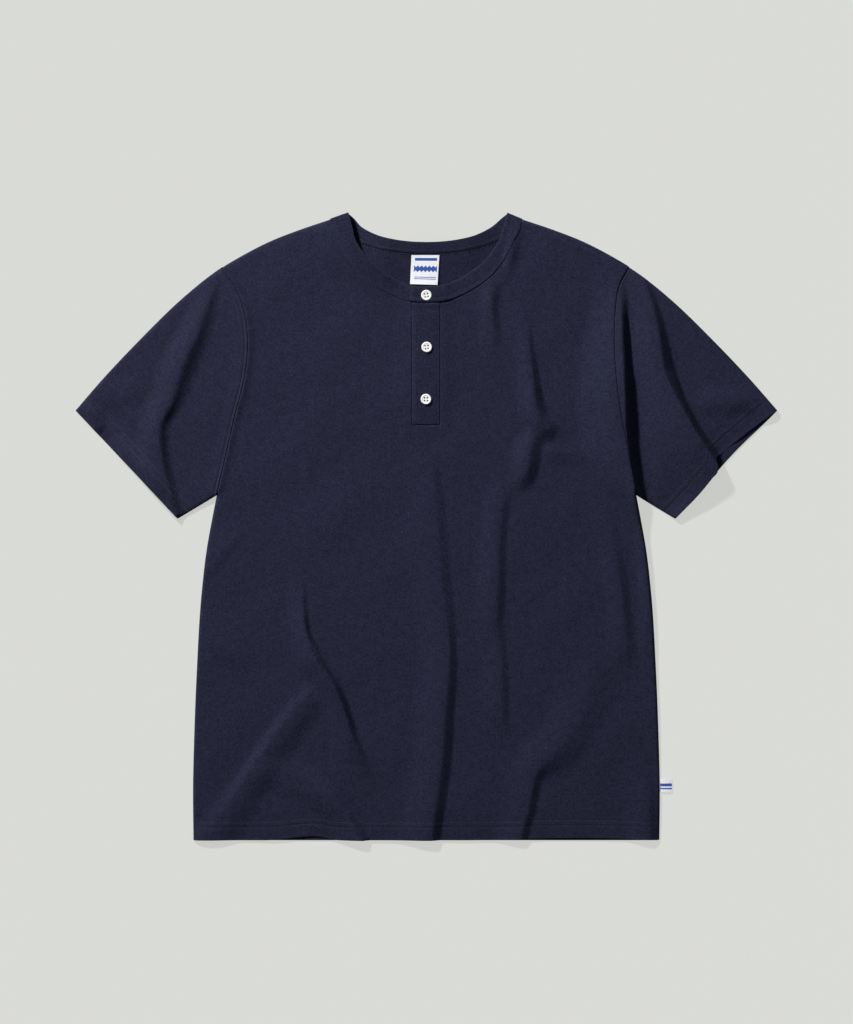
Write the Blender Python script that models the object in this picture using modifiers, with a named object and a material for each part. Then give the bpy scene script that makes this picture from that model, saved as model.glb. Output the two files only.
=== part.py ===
"""A short-sleeved henley shirt, laid flat on a surface with its front up.

Frame: +Z up, the surface at z = 0, +X to the right and +Y towards the neck, origin under the
middle of the shirt. Tables and sizes are in millimetres and become metres in put_mesh.

The back lies flat on the surface. The front lies on it, turns down round the back's edge at the
sides and shoulders, and carries the folds. Each sleeve is a flattened tube that meets the body
at its armhole. The neckband is one strip that turns over at the two shoulder points.
"""

import math
from collections import namedtuple

import bmesh
import bpy
import numpy as np

MM = 0.001

# Cloth
WALL = 1.2  # jersey wall
BAND_WALL = 1.4  # neckband and placket strips, folded double
SEAM_GAP = 0.3  # between pieces that are sewn together
LAID_TOP = 3.6  # height of the front's outer face where nothing lifts it
EDGE_TURN = 3.4  # distance over which a folded edge turns from upright to level
EDGE_FOOT = 0.5  # the front's turned edge ends this far above the surface
BACK_INSET = WALL + SEAM_GAP + 0.5  # the back ends this far inside the front's turned edges
BACK_SHOULDER_INSET = 2.4  # and this far inside them along the shoulders

# Body: half its width at a distance from the origin along Y, from the hem up to the underarm
Width = namedtuple("Width", "y half")
BODY_WIDTHS = (
    Width(-345.0, 256.2),
    Width(-290.0, 256.7),
    Width(-225.0, 255.2),
    Width(-160.0, 252.6),
    Width(-70.0, 246.9),
    Width(-25.0, 241.6),
    Width(10.0, 235.3),
    Width(34.0, 230.6),
)
HEM_Y = BODY_WIDTHS[0].y
UNDERARM_Y = BODY_WIDTHS[-1].y

# Where the front's hem is drawn up clear of the back's
HemLift = namedtuple("HemLift", "x rise reach")
HEM_LIFTS = (
    HemLift(-122.0, 6.0, 46.0),
    HemLift(165.0, 2.4, 120.0),
)

# Armhole seams: where each crosses a distance along Y, from the underarm up to the shoulder
Armhole = namedtuple("Armhole", "y left right")
ARMHOLES = (
    Armhole(34.0, 230.6, 230.6),
    Armhole(71.0, 222.0, 224.0),
    Armhole(124.0, 209.8, 213.0),
    Armhole(165.0, 199.5, 207.6),
    Armhole(205.0, 196.2, 205.8),
    Armhole(238.0, 200.6, 207.4),
    Armhole(264.0, 210.6, 212.0),
    Armhole(284.6, 225.0, 223.0),
)
SHOULDER_Y = ARMHOLES[-1].y

# Upper outline from the neckband out to the cuff, the same on both sides
Outline = namedtuple("Outline", "x y")
SHOULDER = (
    Outline(105.7, 337.6),
    Outline(139.5, 326.2),
    Outline(173.0, 313.0),
    Outline(199.0, 299.8),
    Outline(231.6, 280.0),
    Outline(269.8, 249.2),
    Outline(314.9, 205.2),
    Outline(356.5, 161.2),
    Outline(385.9, 127.4),
)
CUFF_TOP = SHOULDER[-1]
CUFF_FOOT = Outline(273.4, 8.4)

# Neckband: its seam edge and its free edge, from the middle of the front out to the shoulder
# point, then along the back to the middle of the back
Band = namedtuple("Band", "seam_x seam_y edge_x edge_y")
BAND_FRONT = (
    Band(0.0, 246.2, 0.0, 264.0),
    Band(20.5, 247.8, 16.5, 264.8),
    Band(37.0, 253.6, 29.5, 269.6),
    Band(53.5, 262.4, 44.0, 277.2),
    Band(70.0, 274.5, 58.8, 288.0),
    Band(83.2, 289.9, 70.0, 299.8),
    Band(95.3, 311.9, 79.8, 315.2),
    Band(102.6, 325.6, 84.8, 330.4),
    Band(105.2, 336.4, 88.4, 343.4),
)
BAND_BACK = (
    Band(105.2, 336.4, 88.4, 343.4),
    Band(92.0, 322.4, 82.0, 338.2),
    Band(78.8, 314.2, 70.6, 328.6),
    Band(59.0, 306.9, 53.4, 319.8),
    Band(37.0, 302.2, 35.4, 315.2),
    Band(17.0, 300.2, 16.6, 312.8),
    Band(0.0, 299.6, 0.0, 312.2),
)
BAND_OVER_X = -19.2  # the end that lies on top
BAND_UNDER_X = 12.0  # the end beneath it
BAND_RISE_X = 46.0  # the over end starts to climb here
BAND_MIDDLE = 4.0  # sections stand this far to either side of the middle
BAND_TURN_ANGLES = (60.0, 20.0, -20.0, -60.0)  # sections round the turn at a shoulder point

# Placket
PLACKET_X = -0.7
PLACKET_WIDTH = 30.8
PLACKET_BOTTOM = 112.0
SLIT_WIDTH = 24.0
SLIT_STARTS = 5.0  # the slit starts at least this far above the placket's lower end
PLACKET_END_ROW = 4.0  # no row of a strip lies nearer to its ends than this

# Buttons
BUTTON_ROUND = 11.6
BUTTON_THICK = 2.4
BUTTON_RIM = 1.4
BUTTON_DISH = 0.5
BUTTON_BEVEL = 0.5
BUTTON_EDGE = 0.6  # how far the rounding reaches down its side, and up from its foot
BUTTON_STEPS = 20  # round the button
BUTTON_HOLE = 1.7
BUTTON_HOLES_APART = 3.2
HOLE_STEPS = 8
Button = namedtuple("Button", "x y turn")
BUTTONS = (
    Button(0.0, 253.8, 10.0),
    Button(0.4, 196.9, 6.0),
    Button(-0.4, 139.7, 0.0),
)

# Labels
NECK_LABEL = ((-18.0, 298.6), (-19.1, 266.8), (12.4, 265.8), (14.9, 298.6))
NECK_LABEL_THICK = 1.0
SIDE_LABEL_Y = -284.8
SIDE_LABEL_SIZE = (13.0, 14.4, 1.4)

# Folds: a soft ridge from a start to an end, bowed sideways at its middle. "lit" is the width of
# its long slope and "shade" of its short one, on the left of the way it runs. "start" and "end"
# are the share of its height that it still has at each end.
Fold = namedtuple("Fold", "x0 y0 x1 y1 bow height lit shade start end")
FOLDS = (
    Fold(2, 62, 4, -345, 20, 4.6, 44, 18, 0.0, 0.8),  # down the middle
    Fold(-142, -48, -72, -275, -5, 3.8, 28, 18, 0.0, 0.2),  # left of it
    Fold(-126, -166, -236, -332, 0, 4.8, 20, 36, 0.1, 0.5),  # to the left hem
    Fold(-106, -272, -84, -345, 0, 3.2, 26, 18, 0.0, 1.0),  # left hem wave
    Fold(84, 48, 78, -92, -4, 3.0, 32, 18, 0.2, 0.0),  # right of the middle
    Fold(80, -112, 84, -228, 3, 2.4, 28, 18, 0.0, 0.0),
    Fold(104, 224, 121, 96, 4, 3.2, 28, 18, 0.0, 0.7),  # chest
    Fold(119, 98, 98, 34, -2, 3.4, 26, 18, 0.6, 0.0),
    Fold(182, -135, 102, -345, 8, 4.6, 32, 22, 0.0, 0.8),  # to the right hem
    Fold(194, 12, 222, -150, 6, 2.4, 24, 18, 0.0, 0.0),  # right side
    Fold(98, 318, 70, 205, -4, 2.6, 22, 18, 0.1, 0.0),  # under the neckband
    Fold(238, -262, 242, -345, 0, 3.0, 26, 18, 0.0, 1.0),  # right hem wave
    Fold(212, 268, 229, 36, 0, 7.0, 44, 18, 0.3, 0.8),  # along the right armhole
    Fold(236, 270, 318, 78, -8, 5.8, 36, 18, 0.2, 1.0),  # right sleeve to its cuff
    Fold(-230, 268, -298, 104, -3, 5.0, 30, 20, 0.2, 0.6),  # left sleeve
    Fold(-297, 108, -273, 34, 0, 3.2, 22, 18, 0.6, 0.5),
    Fold(-221, 272, -230, 42, 25, 2.6, 20, 18, 0.3, 0.6),  # along the left armhole
)
FOLD_FADE = 0.35  # share of a fold's length over which its height comes and goes

# How finely the cloth is divided
NECK_COLUMNS = 6  # from the slit to the neckband's seam, on each side
SHOULDER_COLUMNS = 7  # from there to the armhole
NECK_SHARE = 0.44  # share of the front's half width that the first of these takes at the hem
BODY_ROWS = 21
CHEST_ROWS = 14
SLEEVE_ROWS = 13
BACK_BAND_SECTIONS = 13
BACK_SIDE_POINTS = 14
BACK_SHOULDER_POINTS = 8
BACK_NECK_POINTS = 19
CORNER = 4.0  # an edge turns down over this distance where it starts at a seam


def smooth_step(share):
    share = np.clip(share, 0.0, 1.0)
    return share * share * (3.0 - 2.0 * share)


def smooth_value(at, where, value):
    """Value at a place, from a smooth curve through (where, value) pairs in rising order."""
    where = np.asarray(where, float)
    value = np.asarray(value, float)
    slope = np.gradient(value, where)
    k = np.clip(np.searchsorted(where, at) - 1, 0, len(where) - 2)
    span = where[k + 1] - where[k]
    t = (at - where[k]) / span
    back = 1.0 - t
    return (
        value[k] * (1.0 + 2.0 * t) * back * back
        + slope[k] * span * t * back * back
        + value[k + 1] * t * t * (3.0 - 2.0 * t)
        + slope[k + 1] * span * t * t * (t - 1.0)
    )


def column(rows, name):
    return [getattr(row, name) for row in rows]


def fold_height(fold, x, y):
    length = math.hypot(fold.x1 - fold.x0, fold.y1 - fold.y0)
    ux = (fold.x1 - fold.x0) / length
    uy = (fold.y1 - fold.y0) / length
    along = ((x - fold.x0) * ux + (y - fold.y0) * uy) / length
    t = np.clip(along, 0.0, 1.0)
    side = (y - fold.y0) * ux - (x - fold.x0) * uy - fold.bow * 4.0 * t * (1.0 - t)
    width = np.where(side > 0.0, fold.shade, fold.lit)
    past = (along - t) * length / fold.lit
    away = np.minimum(np.hypot(side / width, past), 1.0)
    first = fold.start + (1.0 - fold.start) * smooth_step(t / FOLD_FADE)
    last = fold.end + (1.0 - fold.end) * smooth_step((1.0 - t) / FOLD_FADE)
    return fold.height * 0.5 * (1.0 + np.cos(np.pi * away)) * first * last


def top_height(x, y):
    """Height of the shirt's upper outer face, without the turn at its edges."""
    return LAID_TOP + sum(fold_height(fold, x, y) for fold in FOLDS)


def body_half_width(y):
    return smooth_value(y, column(BODY_WIDTHS, "y"), column(BODY_WIDTHS, "half"))


def armhole_x(y, side):
    name = "right" if side > 0 else "left"
    return side * smooth_value(y, column(ARMHOLES, "y"), column(ARMHOLES, name))


def body_edge_x(y, side):
    """The body's side: its side seam below the underarm, its armhole above."""
    return np.where(
        y <= UNDERARM_Y,
        side * body_half_width(np.minimum(y, UNDERARM_Y)),
        armhole_x(np.clip(y, UNDERARM_Y, SHOULDER_Y), side),
    )


def shoulder_y(x):
    return smooth_value(np.abs(x), column(SHOULDER, "x"), column(SHOULDER, "y"))


def band_rows(table, shares):
    """(seam point, edge point) at shares of the way along a band table."""
    at = np.asarray(shares, float) * (len(table) - 1)
    steps = np.arange(len(table))
    sx, sy, ex, ey = (smooth_value(at, steps, column(table, name)) for name in Band._fields)
    return [((a, b), (c, d)) for a, b, c, d in zip(sx, sy, ex, ey)]


SEAM_SHARES = np.linspace(0.0, 1.0, 400)
SEAM_POINTS = [row[0] for row in band_rows(BAND_FRONT, SEAM_SHARES)]


def neck_seam_y(x):
    """The neckband's outer seam on the front."""
    return np.interp(abs(x), [p[0] for p in SEAM_POINTS], [p[1] for p in SEAM_POINTS])


def band_share_at(x):
    """How far along the front table the seam passes a distance from the middle."""
    return float(np.interp(abs(x), [p[0] for p in SEAM_POINTS], SEAM_SHARES))


def neckline_y(x):
    """The front's neckline, a seam's gap outside the band."""
    slope = neck_seam_y(abs(x) + 1.0) - neck_seam_y(abs(x))
    return neck_seam_y(x) - SEAM_GAP * math.hypot(1.0, slope)


def hem_lift(x):
    lifts = [
        lift.rise * (1.0 - smooth_step(abs(x - lift.x) / lift.reach)) for lift in HEM_LIFTS
    ]
    return sum(lifts)


# Building the meshes


def material(name, colour, roughness):
    made = bpy.data.materials.new(name)
    made.use_nodes = True
    shader = made.node_tree.nodes["Principled BSDF"]
    shader.inputs["Base Color"].default_value = (*colour, 1.0)
    shader.inputs["Roughness"].default_value = roughness
    shader.inputs["Metallic"].default_value = 0.0
    return made


def put_mesh(name, mesh, finish, collection, smooth=True):
    """A mesh laid out in millimetres becomes a named object in metres."""
    bmesh.ops.scale(mesh, vec=(MM, MM, MM), verts=mesh.verts)
    data = bpy.data.meshes.new(name)
    mesh.to_mesh(data)
    mesh.free()
    obj = bpy.data.objects.new(name, data)
    collection.objects.link(obj)
    data.materials.append(finish)
    if smooth:
        data.shade_smooth()
    return obj


def thicken(obj, wall):
    """Gives an open cloth surface its wall, on the inner side."""
    solid = obj.modifiers.new("wall", "SOLIDIFY")
    solid.thickness = wall * MM
    solid.offset = -1.0
    solid.use_rim = True
    return obj


def cloth_grid(across, along, place, keep=None):
    """A grid of across by along points, each moved to place(i, j). keep(i, j) says which of its
    faces stay."""
    mesh = bmesh.new()
    bmesh.ops.create_grid(mesh, x_segments=across - 1, y_segments=along - 1, size=1.0)
    mesh.verts.ensure_lookup_table()
    numbers = {}
    for vert in mesh.verts:
        i = round((vert.co.x + 1.0) / 2.0 * (across - 1))
        j = round((vert.co.y + 1.0) / 2.0 * (along - 1))
        numbers[vert] = (i, j)
    if keep is not None:
        gone = [
            face
            for face in mesh.faces
            if not keep(
                min(numbers[v][0] for v in face.verts),
                min(numbers[v][1] for v in face.verts),
            )
        ]
        bmesh.ops.delete(mesh, geom=gone, context="FACES")
    for vert in mesh.verts:
        vert.co = place(*numbers[vert])
    return mesh


# Body

TURN_STEPS = (0.0, 0.0, 0.2, 1.0)  # how far in each point of a turned edge is
TURN_HEIGHTS = (0.0, 0.36, 0.78, 1.0)  # and how high
SEAM_STEPS = (0.0, 0.3, 0.6, 1.0)  # the same points where the edge isn't turned
TURN_POINTS = len(TURN_STEPS)
NOTCH_X = BAND_FRONT[-1].seam_x + 1.2  # the front's corner, just outside the band


def body_columns():
    """Each column's place across: its side, its number of columns out from the slit, and its
    number in from the edge once it is in the turn."""
    steps = list(range(NECK_COLUMNS))
    steps += [NECK_COLUMNS - CORNER / (NOTCH_X / NECK_COLUMNS)]
    steps += list(range(NECK_COLUMNS, NECK_COLUMNS + SHOULDER_COLUMNS))
    right = [(1, step, None) for step in steps]
    last = NECK_COLUMNS + SHOULDER_COLUMNS
    right += [(1, last, k) for k in reversed(range(TURN_POINTS))]
    left = [(-1, step, turn) for _, step, turn in reversed(right)]
    return [*left, (0, 0, None), *right]


def armhole_stops():
    """Distances along Y, from the underarm up, at which every piece at the armhole has a point."""
    top = SHOULDER_Y - EDGE_TURN
    return [UNDERARM_Y + CORNER, *np.linspace(UNDERARM_Y, top, CHEST_ROWS + 1)[1:]]


def body_rows():
    """Each row's distance along Y at the body's sides, and its number down from the shoulder."""
    lower = np.linspace(HEM_Y, UNDERARM_Y, BODY_ROWS + 1)
    rows = [(y, None) for y in [*lower, *armhole_stops()[:-1]]]
    return rows + [(SHOULDER_Y, k) for k in reversed(range(TURN_POINTS))]


COLUMNS = body_columns()
ROWS = body_rows()
MIDDLE = len(COLUMNS) // 2


def column_x(i, row_y, rise):
    """How far across a column is at one row, before the turn at the edge."""
    side, step, _ = COLUMNS[i]
    slit_edge = PLACKET_X + side * SLIT_WIDTH / 2.0
    if not side:
        return slit_edge
    edge = float(body_edge_x(row_y, side))
    if row_y > UNDERARM_Y:
        edge -= side * SEAM_GAP / 2.0
    knee = slit_edge + (edge - slit_edge) * NECK_SHARE
    knee += (side * NOTCH_X - knee) * rise * rise
    if step <= NECK_COLUMNS:
        return slit_edge + (knee - slit_edge) * step / NECK_COLUMNS
    return knee + (edge - knee) * (step - NECK_COLUMNS) / SHOULDER_COLUMNS


def body_point(i, j):
    """A point of the front's outer face."""
    side, step, from_edge = COLUMNS[i]
    row_y, from_top = ROWS[j]
    on_shoulder = step >= NECK_COLUMNS
    turned_side = from_edge is not None and row_y <= UNDERARM_Y
    if from_top is not None:
        row_y -= EDGE_TURN * (TURN_STEPS if on_shoulder else SEAM_STEPS)[from_top]
    # The rows bend from the hem to the shoulders and the neckline.
    rise = (row_y - HEM_Y) / (SHOULDER_Y - HEM_Y)
    x = column_x(i, row_y, rise)
    top_x = column_x(i, SHOULDER_Y, 1.0)
    if from_edge is not None:
        inset = side * EDGE_TURN * (TURN_STEPS if turned_side else SEAM_STEPS)[from_edge]
        x -= inset
        top_x -= inset
    top = float(shoulder_y(top_x) if on_shoulder else neckline_y(top_x))
    y = row_y + rise * rise * (top - SHOULDER_Y) + (1.0 - rise) ** 4 * hem_lift(x)
    level = TURN_HEIGHTS[from_edge] if turned_side else 1.0
    if from_top is not None and on_shoulder:
        level = min(level, TURN_HEIGHTS[from_top])
    height = float(top_height(x, y))
    return (x, y, EDGE_FOOT + (height - EDGE_FOOT) * level)


def slit_bottom_row():
    """The first row above the placket's lower end: the slit starts there."""
    heights = [body_point(MIDDLE, j)[1] for j in range(len(ROWS))]
    return next(j for j, y in enumerate(heights) if y > PLACKET_BOTTOM + SLIT_STARTS)


def make_front(finish, collection):
    slit_row = slit_bottom_row()
    mesh = cloth_grid(
        len(COLUMNS),
        len(ROWS),
        body_point,
        keep=lambda i, j: not (i in (MIDDLE - 1, MIDDLE) and j >= slit_row),
    )
    return thicken(put_mesh("front", mesh, finish, collection), WALL)


def flat_piece(name, outline, bottom, thick, finish, collection):
    """A flat piece of cloth: a filled outline, given its thickness."""
    curve = bpy.data.curves.new(name, "CURVE")
    curve.dimensions = "2D"
    curve.fill_mode = "BOTH"
    curve.extrude = thick * MM / 2.0
    spline = curve.splines.new("POLY")
    spline.points.add(len(outline) - 1)
    for point, (x, y) in zip(spline.points, outline):
        point.co = (x * MM, y * MM, 0.0, 1.0)
    spline.use_cyclic_u = True
    obj = bpy.data.objects.new(name, curve)
    obj.location.z = (bottom + thick / 2.0) * MM
    collection.objects.link(obj)
    curve.materials.append(finish)
    return obj


def make_back(finish, collection):
    """The back, inside the front's turned edges, with its neckline at the band's seam."""
    sides = []
    for side in (1, -1):
        edge = []
        for y in np.linspace(HEM_Y, UNDERARM_Y - BACK_INSET, BACK_SIDE_POINTS):
            edge.append((side * (float(body_half_width(y)) - BACK_INSET), y))
        for y in [*armhole_stops()[1:-1:2], armhole_stops()[-1]]:
            edge.append((float(armhole_x(y, side)) - side * SEAM_GAP / 2.0, y))
        start = abs(edge[-1][0]) - CORNER
        for x in np.linspace(start, NOTCH_X + CORNER, BACK_SHOULDER_POINTS):
            edge.append((side * x, float(shoulder_y(x)) - BACK_SHOULDER_INSET))
        sides.append(edge)
    seam_x = column(BAND_BACK, "seam_x")[::-1]
    seam_y = column(BAND_BACK, "seam_y")[::-1]
    reach = seam_x[-1] - CORNER
    neck = [
        (x, float(smooth_value(abs(x), seam_x, seam_y)) - SEAM_GAP * 2.0)
        for x in np.linspace(reach, -reach, BACK_NECK_POINTS)
    ]
    outline = [*sides[0], *neck, *reversed(sides[1])]
    return flat_piece("back", outline, 0.0, WALL, finish, collection)


# Sleeves


def between(a, b, share):
    return (a[0] + (b[0] - a[0]) * share, a[1] + (b[1] - a[1]) * share)


def sleeve_plan(side, s, t):
    """A point of the sleeve laid flat: s from its upper edge to its underarm edge, t from the
    armhole to the cuff."""

    def upper_edge(at):
        start = abs(float(armhole_x(SHOULDER_Y, side))) + SEAM_GAP / 2.0
        x = start + (CUFF_TOP.x - start) * at
        return (x, float(shoulder_y(x)))

    def lower_edge(at):
        return between((BODY_WIDTHS[-1].half + SEAM_GAP / 2.0, UNDERARM_Y), CUFF_FOOT, at)

    def armhole(at):
        y = SHOULDER_Y + (UNDERARM_Y - SHOULDER_Y) * at
        return (abs(float(armhole_x(y, side))) + SEAM_GAP / 2.0, y)

    def cuff(at):
        return between(CUFF_TOP, CUFF_FOOT, at)

    corners = between(
        between(upper_edge(0.0), lower_edge(0.0), s),
        between(upper_edge(1.0), lower_edge(1.0), s),
        t,
    )
    across = between(upper_edge(t), lower_edge(t), s)
    down = between(armhole(s), cuff(s), t)
    return (side * (across[0] + down[0] - corners[0]), across[1] + down[1] - corners[1])


EDGE_ANGLES = (-90.0, -40.0, 0.0, 40.0, 90.0)


def sleeve_ring(side, t):
    """One closed section of the sleeve's outer face, upper side first."""
    head = sleeve_plan(side, 0.0, t)
    foot = sleeve_plan(side, 1.0, t)
    width = math.hypot(head[0] - foot[0], head[1] - foot[1])
    turn = EDGE_TURN / width

    def turned(angle, start):
        inset = turn * (1.0 - math.cos(math.radians(angle)))
        s = inset if start else 1.0 - inset
        x, y = sleeve_plan(side, s, t)
        height = float(top_height(x, y))
        return (x, y, height / 2.0 * (1.0 + math.sin(math.radians(angle))))

    stops = [(SHOULDER_Y - y) / (SHOULDER_Y - UNDERARM_Y) for y in armhole_stops()[1:-1]]
    upper_side = []
    for s in reversed(stops):
        x, y = sleeve_plan(side, s, t)
        upper_side.append((x, y, float(top_height(x, y))))
    lower_side = [(*sleeve_plan(side, s, t), 0.0) for s in stops[::2]]
    return [
        *[turned(angle, True) for angle in EDGE_ANGLES],
        *upper_side,
        *[turned(angle, False) for angle in reversed(EDGE_ANGLES)],
        *lower_side,
    ]


def loft(rings, closed):
    """Faces between rows of points of equal count. A closed row joins its last point to its first."""
    mesh = bmesh.new()
    rows = [[mesh.verts.new(point) for point in ring] for ring in rings]
    for first, second in zip(rows, rows[1:]):
        count = len(first)
        for k in range(count if closed else count - 1):
            after = (k + 1) % count
            mesh.faces.new((first[k], first[after], second[after], second[k]))
    bmesh.ops.recalc_face_normals(mesh, faces=mesh.faces)
    return mesh


def make_sleeve(name, side, finish, collection):
    rings = [sleeve_ring(side, t) for t in np.linspace(0.0, 1.0, SLEEVE_ROWS + 1)]
    mesh = loft(rings, closed=True)
    mesh.faces.ensure_lookup_table()
    upper = max(mesh.faces, key=lambda face: face.calc_center_median().z)
    if upper.normal.z < 0.0:
        bmesh.ops.reverse_faces(mesh, faces=mesh.faces)
    return thicken(put_mesh(name, mesh, finish, collection), WALL)


# Neckband


def band_section(seam, edge, heights):
    """Four points across the strip, from its seam to its free edge."""
    return [
        (*between(seam, edge, share), height)
        for share, height in zip((0.0, 1.0 / 3.0, 2.0 / 3.0, 1.0), heights)
    ]


def front_section(side, seam, edge, rise):
    points = band_section((side * seam[0], seam[1]), (side * edge[0], edge[1]), (0, 0, 0, 0))
    return [(x, y, float(top_height(x, y)) + rise) for x, y, _ in points]


def over_rise(x):
    """How much the over end has climbed above the under end."""
    climb = smooth_step((BAND_RISE_X - x) / (BAND_RISE_X - PLACKET_WIDTH / 2.0))
    return float(climb) * (BAND_WALL + SEAM_GAP)


def turned_sections(side):
    """The strip turning over at a shoulder point, from the front's level down to the back's."""
    (seam, edge) = band_rows(BAND_FRONT, [1.0])[0]
    run = (edge[0] - seam[0], edge[1] - seam[1])
    length = math.hypot(*run)
    out = (-run[1] / length, run[0] / length)
    if out[1] < 0.0:
        out = (-out[0], -out[1])
    top = float(top_height(side * seam[0], seam[1]))
    sections = []
    for angle in BAND_TURN_ANGLES:
        reach = top / 2.0 * math.cos(math.radians(angle))
        height = top / 2.0 * (1.0 + math.sin(math.radians(angle)))
        moved = [(p[0] + out[0] * reach, p[1] + out[1] * reach) for p in (seam, edge)]
        sections.append(
            band_section(
                (side * moved[0][0], moved[0][1]),
                (side * moved[1][0], moved[1][1]),
                [height] * 4,
            )
        )
    return sections


def neckline_stops(side):
    """Where the front's columns meet the neckline, from the slit out: the band has a section at
    each."""
    stops = [
        abs(column_x(i, SHOULDER_Y, 1.0))
        for i, (at, step, _) in enumerate(COLUMNS)
        if at == side and step < NECK_COLUMNS
    ]
    return sorted(stops)


def front_half(side, stops, rises):
    """Sections of the front strip on one side, at distances from the middle."""
    sections = []
    for x, rise in zip(stops, rises):
        seam, edge = band_rows(BAND_FRONT, [band_share_at(abs(x))])[0]
        sections.append(front_section(side if x >= 0.0 else -side, seam, edge, rise))
    return sections


def make_neckband(finish, collection):
    """One strip: from its under end out to the left, round the back, and in from the right to
    its over end."""
    left = [-BAND_UNDER_X, -BAND_MIDDLE, BAND_MIDDLE, *neckline_stops(-1)]
    right = [*reversed(neckline_stops(1)), BAND_MIDDLE, -BAND_MIDDLE, BAND_OVER_X]
    sections = front_half(-1, left, [0.0] * len(left))
    sections += turned_sections(-1)
    back = band_rows(BAND_BACK, np.linspace(0.0, 1.0, BACK_BAND_SECTIONS))
    for seam, edge in back:
        sections.append(band_section((-seam[0], seam[1]), (-edge[0], edge[1]), [0.0] * 4))
    for seam, edge in back[-2::-1]:
        sections.append(band_section(seam, edge, [0.0] * 4))
    sections += reversed(turned_sections(1))
    sections += front_half(1, right, [over_rise(x) for x in right])
    mesh = loft(sections, closed=False)
    mesh.faces.ensure_lookup_table()
    if mesh.faces[0].normal.z < 0.0:
        bmesh.ops.reverse_faces(mesh, faces=mesh.faces)
    return thicken(put_mesh("neckband", mesh, finish, collection), BAND_WALL)


# Placket


def make_placket(name, half_width, bottom, lift, finish, collection):
    """A strip of the placket, made from the front's own rows, moved out."""
    rows = [body_point(MIDDLE, j)[1] for j in range(len(ROWS))]
    top = float(neckline_y(0.0))
    inner = [y for y in rows if bottom + PLACKET_END_ROW < y < top - PLACKET_END_ROW]
    ys = [bottom, *inner, top]
    xs = np.linspace(PLACKET_X - half_width, PLACKET_X + half_width, 3)

    def place(i, j):
        x = float(xs[i])
        y = float(ys[j])
        return (x, y, float(top_height(x, y)) + lift)

    mesh = cloth_grid(len(xs), len(ys), place)
    wall = BAND_WALL if lift else WALL
    return thicken(put_mesh(name, mesh, finish, collection), wall)


# Buttons and labels


def make_button(name, button, base, finish, collection, cutters):
    """A dished disc, turned, with four holes."""
    radius = BUTTON_ROUND / 2.0
    profile = [
        (radius - BUTTON_BEVEL, BUTTON_THICK),
        (radius, BUTTON_THICK - BUTTON_EDGE),
        (radius, BUTTON_EDGE),
        (radius - BUTTON_EDGE, 0.0),
        (0.0, 0.0),
    ]
    dished = [(0.0, BUTTON_THICK - BUTTON_DISH), (radius - BUTTON_RIM, BUTTON_THICK - BUTTON_DISH)]
    mesh = bmesh.new()
    verts = [mesh.verts.new((x, 0.0, z)) for x, z in [*dished, *profile]]
    for first, second in zip(verts, verts[1:]):
        mesh.edges.new((first, second))
    obj = put_mesh(name, mesh, finish, collection, smooth=False)
    obj.location = (button.x * MM, button.y * MM, base * MM)
    obj.rotation_euler.z = math.radians(button.turn)
    turned = obj.modifiers.new("turned", "SCREW")
    turned.steps = turned.render_steps = BUTTON_STEPS
    turned.use_merge_vertices = True
    turned.merge_threshold = 0.00001
    for k in range(4):
        angle = math.radians(button.turn + 45.0 + 90.0 * k)
        away = BUTTON_HOLES_APART / math.sqrt(2.0)
        hole = bmesh.new()
        bmesh.ops.create_cone(
            hole,
            cap_ends=True,
            segments=HOLE_STEPS,
            radius1=BUTTON_HOLE / 2.0,
            radius2=BUTTON_HOLE / 2.0,
            depth=BUTTON_THICK * 3.0,
        )
        cutter = put_mesh(f"{name}_hole_{k + 1}", hole, finish, cutters, smooth=False)
        cutter.location = (
            (button.x + away * math.cos(angle)) * MM,
            (button.y + away * math.sin(angle)) * MM,
            (base + BUTTON_THICK / 2.0) * MM,
        )
        cutter.hide_render = True
        cutter.display_type = "WIRE"
        cut = obj.modifiers.new(f"hole {k + 1}", "BOOLEAN")
        cut.operation = "DIFFERENCE"
        cut.object = cutter
    return obj


def make_side_label(finish, collection):
    """A folded tab that stands out of the right side seam and rests on the surface."""
    wide, _, thick = SIDE_LABEL_SIZE
    edge = float(body_half_width(SIDE_LABEL_Y)) + SEAM_GAP
    mesh = bmesh.new()
    bmesh.ops.create_cube(mesh, size=1.0)
    bmesh.ops.scale(mesh, vec=SIDE_LABEL_SIZE, verts=mesh.verts)
    centre = (edge + wide / 2.0, SIDE_LABEL_Y, thick / 2.0)
    bmesh.ops.translate(mesh, vec=centre, verts=mesh.verts)
    return put_mesh("side_label", mesh, finish, collection, smooth=False)


def clear_scene():
    for obj in list(bpy.data.objects):
        bpy.data.objects.remove(obj, do_unlink=True)


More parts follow.
